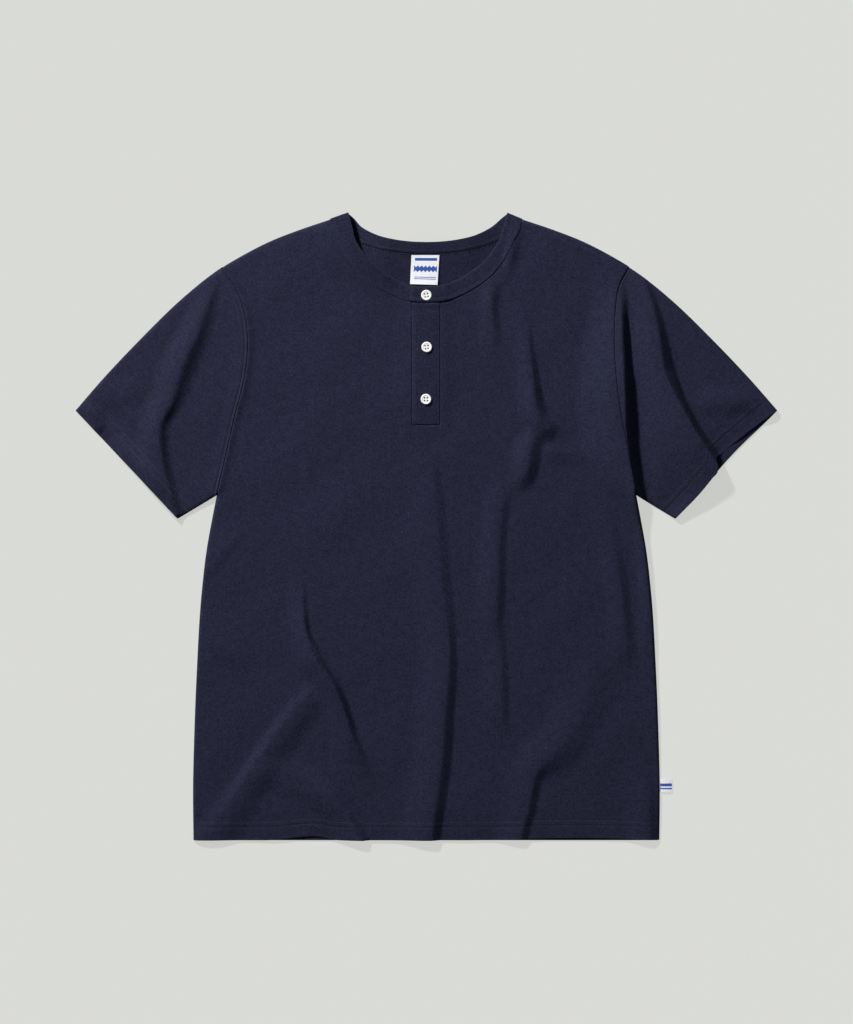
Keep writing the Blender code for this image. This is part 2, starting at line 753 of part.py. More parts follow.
def main():
    clear_scene()
    shirt = bpy.data.collections.new("henley_shirt")
    cutters = bpy.data.collections.new("cutters")
    for collection in (shirt, cutters):
        bpy.context.scene.collection.children.link(collection)
    cutters.hide_render = True
    jersey = material("navy_jersey", (0.016, 0.017, 0.036), 0.9)
    shell = material("ivory_button", (0.84, 0.82, 0.78), 0.35)
    woven = material("white_label", (0.80, 0.83, 0.87), 0.6)

    make_back(jersey, shirt)
    make_front(jersey, shirt)
    make_sleeve("sleeve_left", -1, jersey, shirt)
    make_sleeve("sleeve_right", 1, jersey, shirt)
    make_neckband(jersey, shirt)
    slit_row = slit_bottom_row()
    slit_bottom = max(body_point(i, slit_row)[1] for i in (MIDDLE - 1, MIDDLE, MIDDLE + 1))
    make_placket(
        "placket_under", SLIT_WIDTH / 2.0 - SEAM_GAP, slit_bottom + SEAM_GAP, 0.0, jersey, shirt
    )
    make_placket(
        "placket_over",
        PLACKET_WIDTH / 2.0,
        PLACKET_BOTTOM,
        SEAM_GAP + BAND_WALL,
        jersey,
        shirt,
    )
    for number, button in enumerate(BUTTONS, start=1):
        cloth = float(top_height(button.x, button.y)) + SEAM_GAP + BAND_WALL
        make_button(f"button_{number}", button, cloth + SEAM_GAP, shell, shirt, cutters)
    flat_piece("neck_label", NECK_LABEL, WALL + SEAM_GAP, NECK_LABEL_THICK, woven, shirt)
    make_side_label(woven, shirt)


main()
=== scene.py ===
"""A short-sleeved henley shirt in navy cotton jersey, laid flat with its front up.

Frame: +Z up, the surface at z = 0, +X to the right and +Y towards the neck. The tables and the
sizes are in millimetres, and they become metres when a mesh is made.
"""

import math
from collections import namedtuple

import bmesh
import bpy
import numpy as np
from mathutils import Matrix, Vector


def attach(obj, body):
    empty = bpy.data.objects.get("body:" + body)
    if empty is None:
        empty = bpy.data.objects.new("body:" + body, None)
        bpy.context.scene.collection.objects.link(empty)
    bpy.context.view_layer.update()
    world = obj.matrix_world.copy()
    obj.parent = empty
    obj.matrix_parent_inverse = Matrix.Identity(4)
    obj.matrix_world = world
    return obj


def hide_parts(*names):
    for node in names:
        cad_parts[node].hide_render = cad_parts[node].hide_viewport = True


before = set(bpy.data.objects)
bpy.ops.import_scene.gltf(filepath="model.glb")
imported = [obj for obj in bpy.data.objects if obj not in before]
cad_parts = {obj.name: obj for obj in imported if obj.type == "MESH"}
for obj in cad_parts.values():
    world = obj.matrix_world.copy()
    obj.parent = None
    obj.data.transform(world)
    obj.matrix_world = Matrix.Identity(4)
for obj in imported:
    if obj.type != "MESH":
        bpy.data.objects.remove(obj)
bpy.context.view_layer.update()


# ---------------------------------------------------------------------------- Back
# The back is one piece of piece-dyed cotton jersey. It lies flat on the surface with its inside
# up, and it shows inside the neck and below the front's hem. Its hem is turned up inside.

MM = 0.001
JERSEY = 0.5  # thickness of the cloth
SEAM_GAP = 0.3  # between pieces that are sewn together
HEM_ROUND = 0.55  # radius of a hem's folded edge
HEM_STITCHES = (14.2, 20.2)  # the two stitch rows' distances from a hem's edge
HEM_STOPS = (0, 1.2, 3, 5.5, 8.5, 11.5, 13.0, 13.7, 14.2, 14.8, 15.6, 17.2, 18.8, 19.6, 20.2, 20.8, 22)
HEM_TURNED = len(HEM_STOPS) - 1  # the turned-up part ends at this stop
HEM_BENDS = np.radians((150, 120, 90, 60, 30))  # round the folded edge

# Half the body's width at a distance from the origin along Y, from the hem up to the underarm
Width = namedtuple("Width", "y half")
BODY_WIDTHS = (
    Width(-345.0, 256.2),
    Width(-290.0, 256.7),
    Width(-225.0, 255.2),
    Width(-160.0, 252.6),
    Width(-70.0, 246.9),
    Width(-25.0, 241.6),
    Width(10.0, 235.3),
    Width(34.0, 230.6),
)
HEM_Y = BODY_WIDTHS[0].y
UNDERARM_Y = BODY_WIDTHS[-1].y

# Armhole seams, from the underarm up to the shoulder
Armhole = namedtuple("Armhole", "y left right")
ARMHOLES = (
    Armhole(34.0, 230.6, 230.6),
    Armhole(71.0, 222.0, 224.0),
    Armhole(124.0, 209.8, 213.0),
    Armhole(165.0, 199.5, 207.6),
    Armhole(205.0, 196.2, 205.8),
    Armhole(238.0, 200.6, 207.4),
    Armhole(264.0, 210.6, 212.0),
    Armhole(284.6, 225.0, 223.0),
)
SHOULDER_Y = ARMHOLES[-1].y

# Upper outline from the neckband out to the cuff, the same on both sides
Outline = namedtuple("Outline", "x y")
SHOULDER = (
    Outline(105.7, 337.6),
    Outline(139.5, 326.2),
    Outline(173.0, 313.0),
    Outline(199.0, 299.8),
    Outline(231.6, 280.0),
    Outline(269.8, 249.2),
    Outline(314.9, 205.2),
    Outline(356.5, 161.2),
    Outline(385.9, 127.4),
)

# Neckband along the back: its seam edge and its free edge, from the shoulder point to the middle
Band = namedtuple("Band", "seam_x seam_y edge_x edge_y")
BAND_BACK = (
    Band(105.2, 336.4, 88.4, 343.4),
    Band(92.0, 322.4, 82.0, 338.2),
    Band(78.8, 314.2, 70.6, 328.6),
    Band(59.0, 306.9, 53.4, 319.8),
    Band(37.0, 302.2, 35.4, 315.2),
    Band(17.0, 300.2, 16.6, 312.8),
    Band(0.0, 299.6, 0.0, 312.2),
)
NOTCH_X = BAND_BACK[0].seam_x + 0.4  # corner between the neckline and the shoulder
NECK_SHARE = 0.44  # share of the half width that runs up to the neckline
BACK_STANDS = 6.4  # how high the back stands at its neck
BACK_STANDS_Y = (256.0, 314.0)  # where it starts to rise, and where it is up
BACK_STANDS_X = (40.0, 84.0)  # how far from the middle it is up, and where it is down
BACK_NECK_UNDER = 1.2  # the back reaches this far under the neckband
BACK_INSET = 2.0  # the back ends this far inside the front's turned edges
BACK_SHOULDER_INSET = 2.4
EDGE_TURN = 3.4  # distance over which the front's folded edge turns from upright to level
TURN_ANGLES = np.radians((90, 68, 46, 23, 0))
SHARP_CLOTH = math.radians(55.0)
INSIDE_WORN = 0.3  # how worn a turned-up hem is inside, as a share of its outside

# Columns of a body panel: in each half up to the neckline and outside it, and across the slit
Columns = namedtuple("Columns", "neck outer slit")
BACK_COLUMNS = Columns(26, 24, 8)
BACK_MIDDLE = 12.0  # half the width of the back's middle columns
CROWD_STEPS = 161  # places across a row where its crowding is measured
ROWS_START = 5.0  # the rows above the hem start this far above it
BACK_BODY_ROWS = 46  # from the hem to the underarm
BACK_CHEST_ROWS = 48  # from the underarm to the shoulder

NAVY = (0.0185, 0.0194, 0.0395)
WALE = 0.00085  # width of a column of loops, in metres
COURSE = 0.0007  # height of a row of loops
LOOP_LEAN = 1.5  # how many courses a loop's legs climb
LOOP_CREST = 0.72  # average height of the crests of the loops' legs, from 0 to 1
LOOP_WAVE = 0.28  # how far the crests rise above that and fall below it
LOOP_MIDDLE = 0.45  # average height of the loops, from 0 to 1
GRAIN_RELIEF = 0.8  # how much the yarn's unevenness adds to the height
GRAIN_SCALE = 430.0  # fine unevenness of the yarn, per metre
CLOUD_SCALE = 130.0  # broader unevenness of the dye
CLOUD_SHARE = 0.42
# Painted shade: the loops' crests are painted paler and the hollows between them darker
LOOP_PAINTED_SHADE = 0.16  # how much the loops themselves lighten and darken the cloth
LOOP_DEPTH = 0.00022
DARK_YARN = 0.35  # the darkest yarn, as a share of the base colour
PALE_YARN = 1.65
RUBBED_PALER = 0.012
RUBBED_SHARE = 0.30  # how much of the rubbed colour shows where the cloth is worn
SHEEN_TINT = (0.72, 0.76, 1.0)


def smooth_step(share):
    share = np.clip(share, 0.0, 1.0)
    return share * share * (3.0 - 2.0 * share)


def rising(value, start, end):
    """0 up to start, 1 from end on, and smooth between them."""
    return smooth_step((value - start) / (end - start))


def falling(value, start, end):
    return 1.0 - rising(value, start, end)


def bell(away, reach):
    return np.exp(-((away / reach) ** 2))


def smooth_value(at, where, value):
    """Value at a place, from a smooth curve through (where, value) pairs in rising order."""
    where = np.asarray(where, float)
    value = np.asarray(value, float)
    slope = np.gradient(value, where)
    k = np.clip(np.searchsorted(where, at) - 1, 0, len(where) - 2)
    span = where[k + 1] - where[k]
    t = (at - where[k]) / span
    back = 1.0 - t
    return (
        value[k] * (1.0 + 2.0 * t) * back * back
        + slope[k] * span * t * back * back
        + value[k + 1] * t * t * (3.0 - 2.0 * t)
        + slope[k + 1] * span * t * t * (t - 1.0)
    )


def column(rows, name):
    return [getattr(row, name) for row in rows]


def armhole_x(y, side):
    name = "right" if side > 0 else "left"
    y = np.clip(y, UNDERARM_Y, SHOULDER_Y)
    return side * smooth_value(y, column(ARMHOLES, "y"), column(ARMHOLES, name))


def body_edge_x(y, side):
    """The body's side seam below the underarm, and its armhole above."""
    half = smooth_value(
        np.minimum(y, UNDERARM_Y), column(BODY_WIDTHS, "y"), column(BODY_WIDTHS, "half")
    )
    armhole = armhole_x(y, side) - side * SEAM_GAP / 2.0
    return np.where(y <= UNDERARM_Y, side * half, armhole)


def shoulder_y(x):
    return smooth_value(np.abs(x), column(SHOULDER, "x"), column(SHOULDER, "y"))


def back_neck_y(x):
    seam_x = column(BAND_BACK, "seam_x")[::-1]
    seam_y = column(BAND_BACK, "seam_y")[::-1]
    return smooth_value(np.minimum(np.abs(x), seam_x[-1]), seam_x, seam_y) + BACK_NECK_UNDER


def back_rise(x, y):
    """How far the back lies above the surface: it stands up towards its neck."""
    return BACK_STANDS * rising(y, *BACK_STANDS_Y) * falling(np.abs(x), *BACK_STANDS_X)


def spaced(start, end, count, row_y, crowd):
    """Rows of count + 1 places from start to end, closer together where crowd is high."""
    share = np.linspace(0.0, 1.0, CROWD_STEPS)
    x = start[:, None] + (end - start)[:, None] * share
    weight = 1.0 + crowd(x, row_y[:, None])
    run = np.cumsum((weight[:, 1:] + weight[:, :-1]) / 2.0, axis=1)
    run = np.hstack([np.zeros((len(run), 1)), run]) / run[:, -1:]
    goal = np.linspace(0.0, 1.0, count + 1)
    return np.array([np.interp(goal, *row) for row in zip(run, x)])


def panel_x(row_y, edge, slit_edge, columns, crowd):
    """How far across each column of a body panel is at each row. The columns run from the hem up
    to the neckline, and outside it to the shoulder, and end in the turn at the side."""
    rise = (row_y - HEM_Y) / (SHOULDER_Y - HEM_Y)
    halves = []
    for side in (-1, 1):
        start = np.full(len(row_y), slit_edge(side))
        knee = start + (edge(row_y, side) - start) * NECK_SHARE
        knee = knee + (side * NOTCH_X - knee) * rise * rise
        level = edge(row_y, side) - side * EDGE_TURN
        inner = spaced(start, knee, columns.neck, row_y, crowd)
        outer = spaced(knee, level, columns.outer, row_y, crowd)[:, 1:]
        turn = edge(row_y, side)[:, None] - side * EDGE_TURN * (1.0 - np.cos(TURN_ANGLES[1:]))
        halves.append(np.hstack([inner, outer, turn]))
    left, right = halves
    middle = spaced(left[:, 0], right[:, 0], columns.slit, row_y, crowd)[:, 1:-1]
    return np.hstack([left[:, ::-1], middle, right])


def panel_y(x, row_y, top):
    """The rows bend from the straight hem to the neckline and the shoulders."""
    rise = ((row_y - HEM_Y) / (SHOULDER_Y - HEM_Y))[:, None]
    return row_y[:, None] + rise * rise * (top - SHOULDER_Y)


def normals(points, ring):
    along = np.gradient(points, axis=0)
    if ring:
        across = np.roll(points, -1, axis=1) - np.roll(points, 1, axis=1)
    else:
        across = np.gradient(points, axis=1)
    out = np.cross(across, along)
    return out / np.maximum(np.linalg.norm(out, axis=-1, keepdims=True), 1e-9)


def with_hem(points, flat, worn, sign=1, ring=False):
    """The sheet with its hem turned up inside. Row 0 is the start of the folded edge."""
    out = normals(points, ring) * sign
    down = points[0] - points[1]
    down = down / np.linalg.norm(down, axis=-1, keepdims=True)
    fold = [
        points[0] + HEM_ROUND * (down * math.sin(bend) - out[0] * (1.0 - math.cos(bend)))
        for bend in HEM_BENDS
    ]
    inner = (points - out * 2.0 * HEM_ROUND)[HEM_TURNED::-1]
    edge = flat[:1] - flat[1:2]
    edge = edge / np.linalg.norm(edge, axis=-1, keepdims=True)
    fold_flat = np.concatenate([flat[:1] + edge * HEM_ROUND * bend for bend in HEM_BENDS])
    inner_flat = 2.0 * (flat[:1] + edge * HEM_ROUND * math.pi / 2.0) - flat[HEM_TURNED::-1]
    fold_worn = np.ones((len(HEM_BENDS), worn.shape[1]))
    return (
        np.concatenate([inner, np.array(fold), points]),
        np.concatenate([inner_flat, fold_flat, flat]),
        np.concatenate([worn[HEM_TURNED::-1] * INSIDE_WORN, fold_worn, worn]),
    )


def placed(name, data):
    """A new object with this data, at the origin of the scene."""
    obj = bpy.data.objects.new(name, data)
    bpy.context.scene.collection.objects.link(obj)
    return obj


def sheet_object(name, points, flat, worn, finish, wall, keep=None, ring=False, flip=False):
    """A sheet of cloth from a grid of points. Its place on the uncut cloth is its UV map, and how
    worn it is at each point is an attribute. A wall is given on the inner side."""
    rows, cols = points.shape[:2]
    number = np.arange(rows * cols).reshape(rows, cols)
    if ring:
        number = np.hstack([number, number[:, :1]])

    def corners(grid):
        order = (0, 3, 2, 1) if flip else (0, 1, 2, 3)
        around = (grid[:-1, :-1], grid[:-1, 1:], grid[1:, 1:], grid[1:, :-1])
        quads = np.stack([around[k] for k in order], axis=2)
        return quads.reshape(-1, *quads.shape[2:]) if keep is None else quads[keep]

    faces = corners(number)
    used, faces = np.unique(faces, return_inverse=True)
    faces = faces.reshape(-1, 4)
    data = bpy.data.meshes.new(name)
    data.from_pydata((points.reshape(-1, 3)[used] * MM).tolist(), [], faces.tolist())
    uv = data.uv_layers.new(name="cloth")
    uv.data.foreach_set("uv", (corners(flat) * MM).astype(np.float32).ravel())
    wear = data.attributes.new("worn", "FLOAT", "POINT")
    wear.data.foreach_set("value", worn.reshape(-1)[used].astype(np.float32))
    data.materials.append(finish)
    obj = placed(name, data)
    if wall:
        solid = obj.modifiers.new("wall", "SOLIDIFY")
        solid.thickness = wall * MM
        solid.offset = -1.0
        obj = made_mesh(obj)
    obj.data.shade_smooth()
    obj.data.set_sharp_from_angle(angle=SHARP_CLOTH)
    return obj


def made_mesh(obj):
    """The object with its modifiers made into its mesh."""
    bpy.context.view_layer.update()
    evaluated = obj.evaluated_get(bpy.context.evaluated_depsgraph_get())
    data = bpy.data.meshes.new_from_object(evaluated)
    obj.modifiers.clear()
    obj.data = data
    return obj


def stands_for(piece, node):
    """The piece rides on the shirt's one body and is shown in place of its plain solid."""
    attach(piece, "root")
    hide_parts(node)


# Shader nodes


def put(tree, socket, value):
    if isinstance(value, bpy.types.NodeSocket):
        tree.links.new(value, socket)
    else:
        socket.default_value = value


def set_inputs(tree, node, inputs):
    for key, value in inputs.items():
        put(tree, node.inputs[key], value)


def add_node(tree, kind, inputs=None, **settings):
    node = tree.nodes.new(kind)
    for key, value in settings.items():
        setattr(node, key, value)
    set_inputs(tree, node, inputs or {})
    return node


def maths(tree, operation, *values):
    return add_node(tree, "ShaderNodeMath", dict(enumerate(values)), operation=operation).outputs[0]


def scaled(colour, factor):
    return tuple(part * factor for part in colour)


def opaque(colour):
    return (*colour, 1.0) if isinstance(colour, tuple) else colour


def blended(tree, share, low, high):
    """A colour between two, by share."""
    inputs = {"Factor": share, "A": opaque(low), "B": opaque(high)}
    return add_node(tree, "ShaderNodeMix", inputs, data_type="RGBA").outputs["Result"]


def speckle(tree, place, scale, detail):
    inputs = {"Vector": place, "Scale": scale, "Detail": detail}
    return add_node(tree, "ShaderNodeTexNoise", inputs).outputs["Fac"]


def raised_normal(tree, height, strength, distance):
    inputs = {"Strength": strength, "Distance": distance, "Height": height}
    return add_node(tree, "ShaderNodeBump", inputs).outputs["Normal"]


def split_xyz(tree, place):
    return add_node(tree, "ShaderNodeSeparateXYZ", {0: place}).outputs


def cloth_place(tree):
    """A point's place on the uncut cloth."""
    return add_node(tree, "ShaderNodeUVMap", uv_map="cloth").outputs["UV"]


def new_material(name):
    made = bpy.data.materials.new(name)
    made.use_nodes = True
    return made, made.node_tree, made.node_tree.nodes["Principled BSDF"]


def add_sockets(tree, inputs):
    for label, kind, value in inputs:
        socket = tree.interface.new_socket(label, in_out="INPUT", socket_type=kind)
        if value is not None:
            socket.default_value = value


def new_group(name, inputs, outputs):
    group = bpy.data.node_groups.new(name, "ShaderNodeTree")
    add_sockets(group, inputs)
    for label in outputs:
        group.interface.new_socket(label, in_out="OUTPUT", socket_type="NodeSocketFloat")
    return group, group.nodes.new("NodeGroupInput").outputs, group.nodes.new("NodeGroupOutput")


def knit_group():
    """Plain jersey: columns of V-shaped loops, with the uneven thickness and dye of its yarn, and
    painted shade that makes the loops' crests paler and their hollows darker.
    """
    group, given, made = new_group(
        "plain_knit",
        [
            ("Place", "NodeSocketVector", None),
            ("Wale", "NodeSocketFloat", WALE),
            ("Course", "NodeSocketFloat", COURSE),
            ("Mottle", "NodeSocketFloat", 1.0),
        ],
        ["Shade", "Height"],
    )
    x, y, _ = split_xyz(group, given["Place"])
    turn = 2.0 * math.pi
    wale = maths(group, "DIVIDE", x, given["Wale"])
    course = maths(group, "DIVIDE", y, given["Course"])
    away = maths(group, "ABSOLUTE", maths(group, "SUBTRACT", maths(group, "FRACT", wale), 0.5))
    leg = maths(group, "SINE", maths(group, "MULTIPLY", away, turn))
    slant = maths(group, "SUBTRACT", course, maths(group, "MULTIPLY", away, LOOP_LEAN))
    wave = maths(group, "COSINE", maths(group, "MULTIPLY", slant, turn))
    loop = maths(group, "MULTIPLY_ADD", wave, LOOP_WAVE, LOOP_CREST)
    height = maths(group, "MULTIPLY", leg, loop)
    grain = maths(group, "SUBTRACT", speckle(group, given["Place"], GRAIN_SCALE, 2.0), 0.5)
    cloud = maths(group, "SUBTRACT", speckle(group, given["Place"], CLOUD_SCALE, 2.0), 0.5)
    uneven = maths(group, "MULTIPLY_ADD", cloud, CLOUD_SHARE, grain)
    yarn = maths(group, "MULTIPLY_ADD", uneven, given["Mottle"], 0.5)
    # painted shade: the colour follows the loops' height, darker in their hollows and paler on their
    # crests
    relief = maths(group, "MULTIPLY", maths(group, "SUBTRACT", height, LOOP_MIDDLE), LOOP_PAINTED_SHADE)
    rough = maths(group, "MULTIPLY_ADD", grain, GRAIN_RELIEF, height)
    set_inputs(group, made, {"Shade": maths(group, "ADD", yarn, relief), "Height": rough})
    return group


KNIT = knit_group()


def jersey(name, base, wale, course, mottle, bump):
    """Knitted cotton: matt, faintly fuzzy, a little paler where it is rubbed."""
    made, tree, shader = new_material(name)
    sizes = {"Place": cloth_place(tree), "Wale": wale, "Course": course, "Mottle": mottle}
    knit = add_node(tree, "ShaderNodeGroup", sizes, node_tree=KNIT).outputs
    pale = scaled(base, PALE_YARN)
    colour = blended(tree, knit["Shade"], scaled(base, DARK_YARN), pale)
    worn = add_node(tree, "ShaderNodeAttribute", attribute_name="worn").outputs["Fac"]
    rubbed = tuple(0.75 * part + RUBBED_PALER for part in pale)
    shown = maths(tree, "MULTIPLY", worn, RUBBED_SHARE)
    inputs = {
        "Base Color": blended(tree, shown, colour, rubbed),
        "Roughness": maths(tree, "MULTIPLY_ADD", knit["Height"], -0.12, 0.96),
        "Normal": raised_normal(tree, knit["Height"], bump, LOOP_DEPTH),
        "Specular IOR Level": 0.04,
        "Sheen Weight": 0.006,
        "Sheen Roughness": 0.45,
        "Sheen Tint": opaque(SHEEN_TINT),
    }
    set_inputs(tree, shader, inputs)
    return made


NAVY_JERSEY = jersey("navy_jersey", NAVY, WALE, COURSE, mottle=1.1, bump=0.55)


def back_edge_x(y, side):
    edge = body_edge_x(y, side)
    return np.where(y <= UNDERARM_Y, edge - side * BACK_INSET, edge)


def everywhere_even(x, y):
    return np.zeros(np.broadcast(x, y).shape)


back_rows = np.concatenate(
    [
        HEM_Y + HEM_ROUND + np.array(HEM_STOPS),
        np.linspace(
            HEM_Y + HEM_STOPS[-1] + ROWS_START, UNDERARM_Y - BACK_INSET, BACK_BODY_ROWS
        ),
        np.linspace(UNDERARM_Y, SHOULDER_Y, BACK_CHEST_ROWS),
    ]
)
back_x = panel_x(
    back_rows, back_edge_x, lambda side: side * BACK_MIDDLE, BACK_COLUMNS, everywhere_even
)
back_top = np.where(
    np.abs(back_x[-1]) < NOTCH_X,
    back_neck_y(back_x[-1]),
    shoulder_y(back_x[-1]) - BACK_SHOULDER_INSET,
)
back_y = panel_y(back_x, back_rows, back_top)
back_points = np.stack([back_x, back_y, back_rise(back_x, back_y)], axis=-1)
back_worn = 0.4 * np.exp(-(back_rows - HEM_Y) / 2.0)[:, None] * np.ones(back_x.shape)
back_sheet = with_hem(back_points, back_points[..., :2], back_worn, sign=-1)
back = sheet_object("back_panel", *back_sheet, NAVY_JERSEY, JERSEY, flip=True)
stands_for(back, "back")


# ---------------------------------------------------------------------------- Front
# The front is cut like the back, with a slit for the placket. It lies on the back, turns down
# round its edges at the sides and shoulders, and carries the folds of a shirt that was put down
# by hand. Its hem is turned up and held by two rows of twin-needle stitching.

LAID_TOP = 3.0  # height of the front's outer face where nothing lifts it
LOWEST_TOP = 2.3  # height of two hems pressed together
EDGE_FOOT = 0.5  # its turned edge ends this far above the surface
PLACKET_X = -0.7
PLACKET_WIDTH = 30.8
PLACKET_BOTTOM = 112.0
PLACKET_ROW = 127.0  # the row that bends down to the placket's lower end
SLIT_WIDTH = 24.0
SLIT_BOTTOM = 117.0
UNDERARM_CORNER = 4.0  # the side's turn fades out over this distance above the underarm
GROOVE = 0.28  # depth of the trough that a row of stitches pulls into the cloth
GROOVE_REACH = 0.8
ROW_SUNK = 0.06  # how far a hem's stitches sit in the cloth
HEM_ROW_HALF = 252.0  # half the length of the hem's stitch rows
HEM_ROW_POINTS = 260
WORN_REACH = 1.5  # the cloth is paler this near a folded edge
HEM_RUBBED = 17.0  # the cloth is paler at this distance from a hem's edge
HEM_DOUBLE = 0.22  # what the turned-up cloth adds
HEM_PRESS = 1.6  # how much flatter the cloth lies at a hem's edge
HEM_PRESS_REACH = 34.0
SEAM_DROP = 0.8  # how far the cloth dips into a seam
SEAM_DROP_REACH = 1.2
NECK_SEAM_DROP = 1.7  # how many times as far it dips at the right of the neckline
ARMHOLE_SWELL = 1.5  # what the left sleeve's seam allowance adds to the body
ARMHOLE_SWELL_REACH = 9.0

# The cloth over the placket: how far it swells, how much more it climbs along the strip's left
# edge, and how far the front itself lies below the strip
PLACKET_SWELL = 1.1
SWELL_HALF = 12.0
SWELL_BOTTOM = 116.0
SWELL_REACH = 26.0
PLACKET_STEP = 0.7
STEP_LEFT = (-18.0, -11.0)  # from the placket's middle
STEP_RIGHT = (0.0, 34.0)
STEP_UP = (112.0, 136.0)
PLACKET_SINK = 1.25
SINK_REACH = (-0.4, 2.0)
SINK_LEFT = 2.6  # how many times nearer the sink ends on the left

BAND_FRONT = (
    Band(0.0, 246.2, 0.0, 264.0),
    Band(20.5, 247.8, 16.5, 264.8),
    Band(37.0, 253.6, 29.5, 269.6),
    Band(53.5, 262.4, 44.0, 277.2),
    Band(70.0, 274.5, 58.8, 288.0),
    Band(83.2, 289.9, 70.0, 299.8),
    Band(95.3, 311.9, 79.8, 315.2),
    Band(102.6, 325.6, 84.8, 330.4),
    Band(105.2, 336.4, 88.4, 343.4),
)

# Where the front's hem is drawn up clear of the back's
HemLift = namedtuple("HemLift", "x rise left right")
HEM_LIFTS = (
    HemLift(-124.0, 4.4, 54.0, 28.0),
    HemLift(165.0, 2.4, 120.0, 120.0),
)

